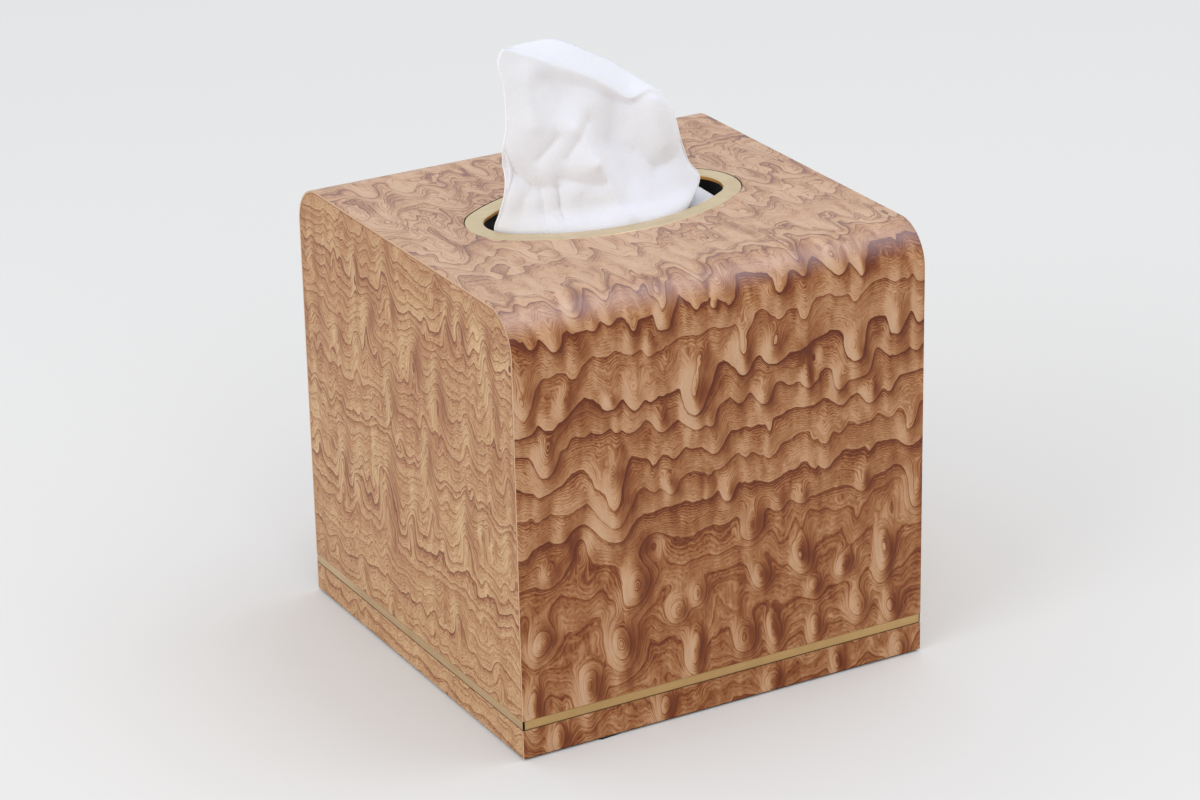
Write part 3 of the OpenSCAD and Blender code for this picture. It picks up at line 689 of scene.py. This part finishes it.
BACK_LEFT = stem(-1, 1) + [
    (0.23, -32.4, 0, 130.5), (0.29, -36.7, -1.2, 135.5), (0.34, -38.3, -2, 140), (0.4, -36.9, -3.1, 145),
    (0.46, -35.6, -4.2, 150), (0.56, -34.4, -4.3, 158.9), (0.62, -35.6, -4.3, 164), (0.71, -34.7, -4.4, 171.8),
    (0.86, -35, -4.4, 185.3), (0.95, -36.3, -4.4, 193), (1, -34.8, -4.2, 196.5),
]
BACK_RIGHT = stem(1, 1) + [
    (0.23, 26.2, 1, 130.5), (0.29, 27.2, 1.2, 134.8), (0.34, 30.2, 1, 139), (0.4, 32.7, -0.4, 143),
    (0.46, 30, 0.3, 147), (0.56, 27.8, 0.7, 152.8), (0.71, 25.9, 0.8, 160), (0.86, 24, 0.8, 166.4),
    (1, 22.2, 1.4, 169.6),
]
FRONT_FOLD = [
    (0, -35.6, -5.2, 196.2), (0.12, -27.3, -5.4, 192.5), (0.3, -17.5, -5.3, 188), (0.5, -6, -5, 182.4),
    (0.62, 0, -5, 178.4), (0.75, 7, -4.8, 174), (0.84, 12.7, -4.2, 175), (0.92, 17.6, -2.8, 173.2),
    (1, 21.8, 0.5, 169.8),
]
BACK_FOLD = [
    (0, -34.8, -4.2, 196.5), (0.1, -29, 2, 194.2), (0.22, -20.8, 6.6, 192.9), (0.35, -12.1, 8, 192.2),
    (0.45, -6, 8, 189.6), (0.55, 0, 8, 186.1), (0.7, 8.8, 8, 181.2), (0.8, 13.8, 8, 177.2),
    (0.92, 19.6, 6, 171.8), (1, 22.2, 1.4, 169.6),
]
FRONT_SWELL = [
    (0, 1.5), (0.1, 1.7), (0.17, 2.2), (0.23, 7), (0.29, 10.5), (0.34, 11.5), (0.45, 10), (0.6, 7), (0.8, 3),
    (0.92, 0.8), (1, 0),
]
BACK_SWELL = [(0, 1.5), (0.1, 1.7), (0.17, 2), (0.25, 6), (0.34, 9.5), (0.5, 9.5), (0.8, 4), (1, 0)]
# Creases on its front and back, as (x, z, x, z of the ends, height, half width, sharpness).
FRONT_CREASES = [
    (-14.2, 169, -8.6, 158, 1.8, 5, 0.3, 0.7), (-8.6, 158, -1.2, 142, 2.8, 6, 0.25, 0.8),
    (-25.8, 152, -26, 136, -1.3, 1.7, 0.4), (-20.8, 152, -20.4, 136, -1.7, 1.5, 0.3),
    (-37.5, 162, -28, 153, -2.2, 4, 0.5, 2), (-19.7, 167, -26.5, 161, -0.9, 1.8, 0.3),
    (-8.7, 170, -17.4, 160, -1, 2.4, 0.4), (-20.5, 154.5, -7, 150.5, -1.4, 3, 0.5),
    (-22, 183, -17, 178, -1.8, 6, 3), (-28.5, 190, -28, 172, 1.3, 4, 1.5),
    (4, 175, -1, 161, -2.8, 7, 2.5), (-1, 161, 3, 149, -3.4, 7, 2.5),
    (14.5, 172, 17, 158, 1.8, 4.5, 2.5), (8, 157, 14.5, 150.5, -0.8, 2.6, 0.8),
    (14.5, 150.5, 24, 151.5, -1, 2.6, 0.8), (-4.5, 142.8, 1, 141, 0.9, 1.6, 0.3),
    (-1, 144.5, 2.2, 143.2, -0.7, 1, 0.3), (6, 146, 20, 141, 1.2, 4, 2),
    (-31, 150, -33.5, 141, -0.8, 2.2, 0.6), (-14, 148, -11, 137, -0.8, 2, 0.8),
]
BACK_CREASES = [
    (-24, 186, -14, 150, -1.8, 5, 0.5), (-14, 150, -12, 137, -1.4, 2, 0.4), (4, 178, -2, 152, 1.6, 5, 0.5),
    (10, 160, 20, 140, -1.8, 4, 0.5), (-30, 170, -20, 158, 1, 3, 0.4), (-2, 152, 6, 138, -1.2, 2.2, 0.4),
]


def creased(x, z, creases):
    """Height of the creases at x, z: each falls off from its line as e to the minus distance in half widths,
    rounded on the line itself by its sharpness, and dies out past its ends. A last number makes its right side
    that much steeper, or gentler if it is below 1."""
    raised = np.zeros_like(x)
    for ax, az, bx, bz, height, half, sharp, *steep in creases:
        run = np.hypot(bx - ax, bz - az)
        ux, uz = (bx - ax) / run, (bz - az) / run
        along = (x - ax) * ux + (z - az) * uz
        past = np.maximum(np.maximum(-along, along - run), 0)
        away = (x - ax) * uz - (z - az) * ux
        away = np.where(away < 0, away * (steep or [1])[0], away)
        reach = np.sqrt(away**2 + (past * 1.3) ** 2 + sharp**2) - sharp
        raised += 1.3 * height * np.exp(-reach / half)
    return raised


def sheath(across, up):
    """The outer face of the standing tissue at (share across, way along): 0 to 1 up its front, 1 to 2 over its
    upper strip, 2 to 3 down its back.

    A face is the straight blend of its left and right edges, plus what its fold departs from that at the top,
    swollen outwards by swell times (4 s (1 - s)) to the power 0.7, plus the creases.
    """
    s, v = across, up
    inside = np.clip(s, 0, 1)
    room = np.clip(4 * inside * (1 - inside), 1e-6, 1) ** 0.7

    def face(level, left, right, fold, swell, out, creases):
        edge_l, edge_r = through(left, level), through(right, level)
        top = through(fold, inside)
        straight = edge_l + (edge_r - edge_l) * s[..., None]
        corner_l, corner_r = np.array(left[-1][1:]), np.array(right[-1][1:])
        lift = top - (corner_l + (corner_r - corner_l) * inside[..., None])
        here = straight + lift * (ease(level, 0.3, 1.0) ** 1.5)[..., None]
        grip = ease(level, 0.27, 0.42) * (1 - ease(level, 0.9, 1.0))
        raised = creased(here[..., 0], here[..., 2], creases) * grip
        here[..., 1] += out * (through(swell, level)[..., 0] * room + raised)
        return here

    front = face(np.clip(v, 0, 1), FRONT_LEFT, FRONT_RIGHT, FRONT_FOLD, FRONT_SWELL, -1, FRONT_CREASES)
    back = face(np.clip(3 - v, 0, 1), BACK_LEFT, BACK_RIGHT, BACK_FOLD, BACK_SWELL, 1, BACK_CREASES)
    way = np.clip(v - 1, 0, 1)[..., None]
    near, far = through(FRONT_FOLD, inside), through(BACK_FOLD, inside)
    strip = near + (far - near) * way
    strip[..., 2] += 0.9 * (4 * way * (1 - way))[..., 0] * ease(s, 0.0, 0.2)
    return np.where((v <= 1)[..., None], front, np.where((v >= 2)[..., None], back, strip))


def standing_tissue(sizes):
    """One sheet, gathered in the slit: a grid of (way along, place across).

    Across, it lies in three plies at each side: from a hidden edge to a hidden fold, back to the side edge, over
    the outer face to the other side, and in again the same way. A ply lies its depth inside the outer face. A
    half circle in (share across, depth) joins each ply to the next.
    """
    tuck, hem = 0.46, 0.03
    inner, face, strip = 18, 100, 10
    turn = np.linspace(0, pi, 7)[1:-1]
    bulge, between = 0.006 * np.sin(turn), 0.5 + 0.5 * np.cos(turn)
    s = np.concatenate([
        np.linspace(hem, tuck, inner), tuck + bulge, np.linspace(tuck, 0.0, inner), -bulge,
        np.linspace(0, 1, face),
        (1 + bulge)[::-1], np.linspace(1, 1 - tuck, inner), (1 - tuck - bulge)[::-1],
        np.linspace(1 - tuck, 1 - hem, inner),
    ])
    deep = np.concatenate([
        np.full(inner, 2.0), 1 + between, np.full(inner, 1.0), between, np.zeros(face),
        between[::-1], np.full(inner, 1.0), (1 + between)[::-1], np.full(inner, 2.0),
    ])
    v = np.concatenate([np.linspace(0, 1, face)[:-1], np.linspace(1, 2, strip)[:-1], np.linspace(2, 3, face)])
    across, up = np.meshgrid(s, v)
    outer = sheath(across, up)
    step = 0.002
    to_right = sheath(across + step, up) - sheath(across - step, up)
    to_top = sheath(across, np.clip(up + step, 0, 3)) - sheath(across, np.clip(up - step, 0, 3))
    inwards = np.cross(to_top, to_right)
    inwards /= np.linalg.norm(inwards, axis=-1, keepdims=True) + 1e-9
    slack = 0.45 + 0.55 * ease(outer[..., 2], 128, 150)
    points = outer + inwards * (deep * slack * (sizes.ply_gap / MM))[..., None]
    points[:, -inner:] = fallen_corner(points[:, -inner:], 3 - v)
    return paper_piece("standing_tissue", points * MM, sizes.paper)


def fallen_corner(points, level):
    """Lets the hidden right edge behind fall flat in the opening: there the way down the sheet turns into the
    way forwards, over 18 mm, and the place across it runs 15 mm out to the right."""
    share = ease(level, 0.165, 0.215) * (1 - ease(level, 0.34, 0.38))
    forwards = np.clip((0.37 - level) / 0.18, 0, 1)
    outwards = np.linspace(0, 1, points.shape[1])
    x, y = np.meshgrid(21.5 + 15 * outwards, 8.5 - 18 * forwards)
    z = 136.2 + 0.8 * outwards[None, :] - 0.6 * forwards[:, None]
    return points + (np.stack([x, y, z], -1) - points) * share[:, None, None]


def folded_tissue(sizes, side, top):
    """The next sheet, folded in half twice: a half circle bends the sheet over itself, and the pair of plies is
    carried round a wider half circle, offset from its middle line by the plies' own. A slow wave lifts it."""
    gap, pair = sizes.ply_gap, sizes.ply_gap * PAIR
    half, count = side / 2, 40

    def fold(radius):
        """Place along, height and direction of a line that runs out, turns in a half circle and runs back."""
        turn = np.linspace(0, pi, 9)[1:-1]
        straight = np.linspace(-half, half - radius, count)
        run = np.concatenate([straight, half - radius + radius * np.sin(turn), straight[::-1]])
        out = np.concatenate([np.full(count, radius), radius * np.cos(turn), np.full(count, -radius)])
        return run, out, np.concatenate([np.zeros(count), turn, np.full(count, pi)])

    x, offset, _ = fold(gap / 2)
    y, middle, lean = (a[:, None] for a in fold(pair / 2))
    x, y = np.broadcast_arrays(x, y + np.sin(lean) * offset)
    z = top - pair / 2 - gap / 2 - sizes.paper + middle + np.cos(lean) * offset
    z = z + np.sin(x / (11 * MM)) * np.sin(y / (17 * MM) + 1) * 0.06 * MM
    return paper_piece("next_tissue", np.stack([x, y, z], -1), sizes.paper)


def tissue_pile(side, foot, top, count):
    """The rest of the stack: rounded square rings, one profile of count folded sheets, closed by rings that
    shrink to a middle point above and below.

    A sheet bulges by 0.6 mm and lies up to 0.35 mm off, by a sine that is unrelated from sheet to sheet. At an
    angle, a rounded square is (cosine and sine to the power 14, added) to the power -1/14 away from the middle.
    """
    angle = np.linspace(0, 2 * pi, 161)[:-1]
    level = np.linspace(0, count, count * 8 + 1)
    drift = np.sin(np.floor(np.minimum(level, count - 1e-6)) * 12.9898) * 0.35 * MM
    bulge = -0.6 * MM * np.abs(2 * (level % 1) - 1) ** 2.5 + drift
    half = side / 2 - 1.2 * MM
    cap = half * np.linspace(0, 1, 14)[1:-1]
    reach = np.concatenate([cap, half + bulge, cap[::-1]])[:, None]
    z = np.concatenate([cap * 0 + foot, foot + (top - foot) * level / count, cap * 0 + top])[:, None]
    corner = (np.abs(np.cos(angle)) ** 14 + np.abs(np.sin(angle)) ** 14) ** (-1 / 14)
    x, y = reach * (corner * np.cos(angle)), reach * (corner * np.sin(angle))
    rings = np.stack(np.broadcast_arrays(x, y, z), -1)
    place = np.arange(x.size).reshape(x.shape)
    place = np.hstack([place, place[:, :1]])
    caps = [(x.size, b, a) for a, b in zip(place[0].tolist(), place[0, 1:].tolist())]
    caps += [(x.size + 1, a, b) for a, b in zip(place[-1].tolist(), place[-1, 1:].tolist())]
    points = np.vstack([rings.reshape(-1, 3), rings[0].mean(0), rings[-1].mean(0)])
    return new_piece("tissue_pile", points, quads(place) + caps)


class CoverSizes(bpy.types.PropertyGroup):
    """Sizes of the soft paper."""

    paper: length("Paper", "Thickness of one tissue", 0.0002)
    ply_gap: length("Ply gap", "Distance between two plies of a folded tissue", 0.0005)
    tissue_side: length("Tissue side", "Side of a tissue laid flat", 0.2)
    plies: IntProperty(name="Sheets", description="Folded sheets in the pile", default=52, min=1)


class CoverColours(bpy.types.PropertyGroup):
    """Colours of the finishes. Each veneer goes from its palest tone to its darkest."""

    wrap_pale: colour("Wrap veneer, palest", "Wood between the rings of the front, top and back", 0xBA8D68)
    wrap_mid: colour("Wrap veneer, middle", "Wood where a ring fades", 0x9C683F)
    wrap_deep: colour("Wrap veneer, deep", "Dark side of a ring", 0x7E421C)
    wrap_line: colour("Wrap veneer, darkest", "The ring's own line", 0x5D2406)
    side_pale: colour("Side veneer, palest", "Wood between the rings of the sides", 0xC9A57B)
    side_mid: colour("Side veneer, middle", "Wood where a ring fades", 0xAF8259)
    side_deep: colour("Side veneer, deep", "Dark side of a ring", 0x935B35)
    side_line: colour("Side veneer, darkest", "The ring's own line", 0x703818)
    veneer_edge: colour("Veneer edge", "Cut edge of the wrap-around leaf", 0xC6A07C)
    # Painted sheen: the wrap leaf is drawn paler where it faces up, for the light that falls on the top.
    painted_top_sheen: colour("Wrap veneer, top", "Paler cast of the leaf where it faces up", 0xF0E2CE)
    # Painted light: the same brass as the front and back strip, drawn paler for the sides, where more light falls.
    strip: colour("Brass strip", "The inlaid strip", 0xCCA972)
    side_strip_painted_light: colour("Brass strip, sides", "The inlaid strip on the sides", 0xD7BA8D)
    ring: colour("Brass ring", "The oval in the top", 0xE6D3AB)
    board: colour("Fibreboard", "Core of the case", 0xB08A62)
    suede: colour("Suede", "Lining of the case and the opening", 0x060607)
    felt: colour("Felt", "Pads under the case", 0x131314)
    card: colour("Card", "The refill's carton", 0xE6E4DE)
    film: colour("Film", "The refill's window", 0xE8EEF2)
    magnet: colour("Magnets", "Nickel plate", 0xC4C4C6)
    tissue: colour("Tissue", "Paper", 0xF1F1F6)
    tissue_shadow: colour("Tissue, fibres", "Paper where it is denser", 0xE7E5E8)


WRAPPED = ["wrap_veneer", "front_plinth_veneer", "back_plinth_veneer"]
STRIPS = ["front_strip", "back_strip", "left_strip", "right_strip"]
BOARDS = ["front_board", "back_board", "left_board", "right_board", "top_board", "base_board"]
LININGS = [
    "top_lining", "front_lining", "back_lining", "left_lining", "right_lining", "base_lining", "opening_sleeve",
]
FELTS = ["front_felt", "back_felt", "left_felt", "right_felt", "base_felt"]


class CoverOperator:
    """What the operators share: their sizes and colours."""

    bl_options = {"REGISTER", "UNDO"}

    @property
    def sizes(self):
        return bpy.context.scene.tissue_cover_sizes

    def shown(self, *names):
        return [tuple(getattr(bpy.context.scene.tissue_cover_colours, name)) for name in names]


class TISSUECOVER_OT_wrap_veneer(CoverOperator, bpy.types.Operator):
    """Figured leaf that runs up the front, over the top and down the back"""

    bl_idname = "tissuecover.wrap_veneer"
    bl_label = "Wrap-around veneer"

    def execute(self, context):
        colours = self.shown("wrap_pale", "wrap_mid", "wrap_deep", "wrap_line")
        recipe, shown = veneer_material("wrap veneer", WRAP_LEAF, colours, wrap_plane)
        x, y, z = recipe.place()
        nx, _, nz = recipe.facing()
        raw = recipe.step(abs(nx), 0.7, 0.9)
        # Painted sheen: paler where the leaf faces up.
        shown = recipe.blend(recipe.step(nz, 0.3, 0.9) * 0.1, shown, self.shown("painted_top_sheen")[0])
        # Painted highlight: a pale lilac band on the upper part of the rounded edges.
        shown = recipe.blend(recipe.hill(nz, 0.78, 0.22) * 0.12, shown, PAINTED_EDGE_HIGHLIGHT)
        shown = recipe.blend(raw, shown, self.shown("veneer_edge")[0])
        # Painted shade: the leaf's cut wall round the opening drawn nearly black, for the shadow in the gap beside
        # the ring.
        hole_shade = recipe.step(nz, 0.5, 0.2) * recipe.step(abs(y), HOLE_Y + 1, HOLE_Y)
        hole_shade = hole_shade * recipe.step(z, HOLE_Z, HOLE_Z + 1) * (1 - raw * recipe.step(abs(x), HOLE_X, HOLE_X + 1))
        recipe.set(Base_Color=recipe.blend(hole_shade, shown, PAINTED_GAP_SHADE))
        dress(WRAPPED, recipe.material)
        return {"FINISHED"}


class TISSUECOVER_OT_side_veneers(CoverOperator, bpy.types.Operator):
    """Straighter leaves on the two flat sides, with a dark glue line along their upper border"""

    bl_idname = "tissuecover.side_veneers"
    bl_label = "Side veneers"

    def execute(self, context):
        colours = self.shown("side_pale", "side_mid", "side_deep", "side_line")
        for side, plane in (("left", turned_side_plane), ("right", side_plane)):
            recipe, shown = veneer_material(side + " veneer", SIDE_LEAF, colours, plane)
            x, y, z = recipe.place()
            out_y = recipe.most(abs(y) - (HALF_D - EDGE_R), 0)
            out_z = recipe.most(z - (TOP - EDGE_R), 0)
            inset = EDGE_R - (out_y * out_y + out_z * out_z) ** 0.5
            glue = 1 - recipe.step(inset, 0.7, 1.05)
            recipe.set(Base_Color=recipe.blend(glue * 0.6, shown, colours[3]))
            dress([side + "_veneer", side + "_plinth_veneer"], recipe.material)
        return {"FINISHED"}


class TISSUECOVER_OT_core(CoverOperator, bpy.types.Operator):
    """Fibreboard of the case and the base"""

    bl_idname = "tissuecover.core"
    bl_label = "Boards"

    def execute(self, context):
        dress(BOARDS, board_material(*self.shown("board")))
        return {"FINISHED"}


class TISSUECOVER_OT_brass(CoverOperator, bpy.types.Operator):
    """Inlaid brass strip round the foot and the oval ring in the top"""

    bl_idname = "tissuecover.brass"
    bl_label = "Brass"

    def execute(self, context):
        strip, side_strip_painted_light, ring = self.shown("strip", "side_strip_painted_light", "ring")
        edges = [(STRIP_LOW, 0.3), (STRIP_HIGH, 0.22)]
        dress(STRIPS[:2], brass_material("strip brass, across", strip, (30.0, 0.3, 0.12), edges, STRIP_END))
        # The sides take the paler copy of the brass: painted light.
        dress(STRIPS[2:], brass_material("strip brass, along", side_strip_painted_light, (0.3, 30.0, 0.12), edges))
        dress(["opening_ring"], brass_material("ring brass", ring, (14.0, 0.35, 0.35)))
        return {"FINISHED"}


class TISSUECOVER_OT_linings(CoverOperator, bpy.types.Operator):
    """Black suede inside the case, on the base and round the opening"""

    bl_idname = "tissuecover.linings"
    bl_label = "Suede linings"

    def execute(self, context):
        dress(LININGS, pile_material("black suede", *self.shown("suede"), 0.22, 0.00012, 0.08))
        return {"FINISHED"}


class TISSUECOVER_OT_felts(CoverOperator, bpy.types.Operator):
    """Black felt pads under the case and the base"""

    bl_idname = "tissuecover.felts"
    bl_label = "Felt pads"

    def execute(self, context):
        dress(FELTS, pile_material("black felt", *self.shown("felt"), 0.35, 0.0003, 0.2))
        return {"FINISHED"}


class TISSUECOVER_OT_magnets(CoverOperator, bpy.types.Operator):
    """Plated magnets that hold the case on its base"""

    bl_idname = "tissuecover.magnets"
    bl_label = "Magnets"

    def execute(self, context):
        dress(["case_magnets", "base_magnets"], plated_material(*self.shown("magnet")))
        return {"FINISHED"}


class TISSUECOVER_OT_refill(CoverOperator, bpy.types.Operator):
    """Carton and film of the refill"""

    bl_idname = "tissuecover.refill"
    bl_label = "Refill carton"

    def execute(self, context):
        low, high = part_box("refill_carton")
        dress(["refill_carton"], card_material(*self.shown("card"), (low[2] / MM, high[2] / MM)))
        dress(["carton_film"], film_material(*self.shown("film")))
        return {"FINISHED"}


class TISSUECOVER_OT_pile(CoverOperator, bpy.types.Operator):
    """Folded tissues in the refill, and the next one to come, lying on them"""

    bl_idname = "tissuecover.pile"
    bl_label = "Folded tissues"

    def execute(self, context):
        low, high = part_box("tissue_stack")
        side = high[0] - low[0]
        sheet_h = (PAIR + 1) * self.sizes.ply_gap + 2 * self.sizes.paper
        pile = tissue_pile(side, low[2], high[2] - sheet_h - 0.1 * MM, self.sizes.plies)
        following = folded_tissue(self.sizes, side - 3 * MM, high[2])
        paper = paper_material(*self.shown("tissue", "tissue_shadow"))
        for piece in (pile, following):
            piece.data.materials.append(paper)
            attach(piece, "base")
        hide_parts("tissue_stack")
        return {"FINISHED"}


class TISSUECOVER_OT_tissue(CoverOperator, bpy.types.Operator):
    """The tissue that stands in the opening"""

    bl_idname = "tissuecover.tissue"
    bl_label = "Standing tissue"

    def execute(self, context):
        piece = standing_tissue(self.sizes)
        piece.data.materials.append(paper_material(*self.shown("tissue", "tissue_shadow")))
        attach(piece, "tissue")
        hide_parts("tissue")
        return {"FINISHED"}


class TISSUECOVER_OT_stage(CoverOperator, bpy.types.Operator):
    """Pale floor, soft studio light and the camera"""

    bl_idname = "tissuecover.stage"
    bl_label = "Stage"

    def execute(self, context):
        half = 4.0
        corners = np.array([[[-half, -half, 0], [half, -half, 0]], [[-half, half, 0], [half, half, 0]]])
        floor = grid_piece("floor", corners, smooth=False)
        recipe = Recipe("floor", Roughness=0.9, Specular_IOR_Level=0.0, Base_Color=FLOOR)
        floor.data.materials.append(recipe.material)
        floor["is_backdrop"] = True
        context.scene.view_settings.view_transform = "Standard"
        backdrop_light(BACKDROP, 1.12)
        softbox("overhead softbox", (0.55, -0.15, 1.5), (0.7, 0.7), 3)
        softbox("left softbox", (-1.45, -0.45, 0.8), (1.0, 0.8), 7)
        softbox("front softbox", (-0.5, -1.6, 1.0), (1.2, 0.9), 4.5)
        studio_camera()
        return {"FINISHED"}


def softbox(name, place, size, watts):
    """A large oblong lamp that looks at the middle of the case."""
    lamp = bpy.data.lights.new(name, "AREA")
    lamp.shape, lamp.size, lamp.size_y, lamp.energy = "RECTANGLE", *size, watts
    stand = put(name, lamp)
    stand.location = place
    stand.rotation_euler = (Vector((0, 0, TOP * MM / 2)) - Vector(place)).to_track_quat("-Z", "Y").to_euler()


def backdrop_light(pale, strength):
    """Even light from all round at that strength. The camera and mirrors see the backdrop's own pale colour."""
    world = bpy.data.worlds.new("backdrop")
    world.use_nodes = True
    formulas = Formulas(world.node_tree)
    rays = ("Is Camera Ray", "Is Glossy Ray", "Is Transmission Ray")
    camera, glossy, passing = (formulas.node("ShaderNodeLightPath", output=ray) for ray in rays)
    seen = formulas.most(camera, formulas.most(glossy, passing))
    level = formulas.node("ShaderNodeMapRange", {"Value": seen, "To Min": strength, "To Max": 1.0})
    light = formulas.node("ShaderNodeBackground", {"Color": pale, "Strength": level})
    formulas.plug(light, world.node_tree.nodes.new("ShaderNodeOutputWorld").inputs["Surface"])
    bpy.context.scene.world = world


def studio_camera():
    """The camera at the photograph's angle. Its axes: back is the way from the object to it, right is level,
    and both right and up are turned a little about back."""
    azimuth, elevation, roll = radians(-29.001), radians(22.475), radians(-1.225)
    back = Vector((sin(azimuth) * cos(elevation), -cos(azimuth) * cos(elevation), sin(elevation)))
    right = Vector((0, 0, 1)).cross(back).normalized()
    up = back.cross(right)
    right, up = cos(roll) * right + sin(roll) * up, cos(roll) * up - sin(roll) * right
    lens = bpy.data.cameras.new("camera")
    lens.sensor_fit, lens.sensor_width = "HORIZONTAL", 36.0
    lens.lens = FOCAL_LENGTH * lens.sensor_width / PHOTO_WIDTH
    lens.clip_start, lens.clip_end = 0.05, 20
    camera = put("camera", lens)
    turned = Matrix((right, up, back)).transposed().to_4x4()
    turned.translation = (-0.53792, -0.96490, 0.53246)
    camera.matrix_world = turned
    bpy.context.scene.camera = camera


PIECES = (
    TISSUECOVER_OT_wrap_veneer, TISSUECOVER_OT_side_veneers, TISSUECOVER_OT_core, TISSUECOVER_OT_brass,
    TISSUECOVER_OT_linings, TISSUECOVER_OT_felts, TISSUECOVER_OT_magnets, TISSUECOVER_OT_refill,
    TISSUECOVER_OT_pile, TISSUECOVER_OT_tissue, TISSUECOVER_OT_stage,
)


class TISSUECOVER_PT_panel(bpy.types.Panel):
    """Lists the pieces, their sizes and their colours"""

    bl_idname = "TISSUECOVER_PT_panel"
    bl_label = "Tissue box cover"
    bl_space_type = "VIEW_3D"
    bl_region_type = "UI"
    bl_category = "Tissue cover"

    def draw(self, context):
        column = self.layout.column()
        for group in (context.scene.tissue_cover_sizes, context.scene.tissue_cover_colours):
            for name in group.__annotations__:
                column.prop(group, name)
        for piece in PIECES:
            column.operator(piece.bl_idname)


CLASSES = (CoverSizes, CoverColours, *PIECES, TISSUECOVER_PT_panel)


def register():
    for one in CLASSES:
        bpy.utils.register_class(one)
    bpy.types.Scene.tissue_cover_sizes = PointerProperty(type=CoverSizes)
    bpy.types.Scene.tissue_cover_colours = PointerProperty(type=CoverColours)


def unregister():
    del bpy.types.Scene.tissue_cover_colours
    del bpy.types.Scene.tissue_cover_sizes
    for one in reversed(CLASSES):
        bpy.utils.unregister_class(one)


def main():
    register()
    for piece in PIECES:
        group, name = piece.bl_idname.split(".")
        getattr(getattr(bpy.ops, group), name)()
    boxes = {"packed": PACKED_BOUNDS, "visual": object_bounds()}
    {name: [list(map(float, corner)) for corner in box] for name, box in boxes.items()}


if __name__ == "__main__":
    main()
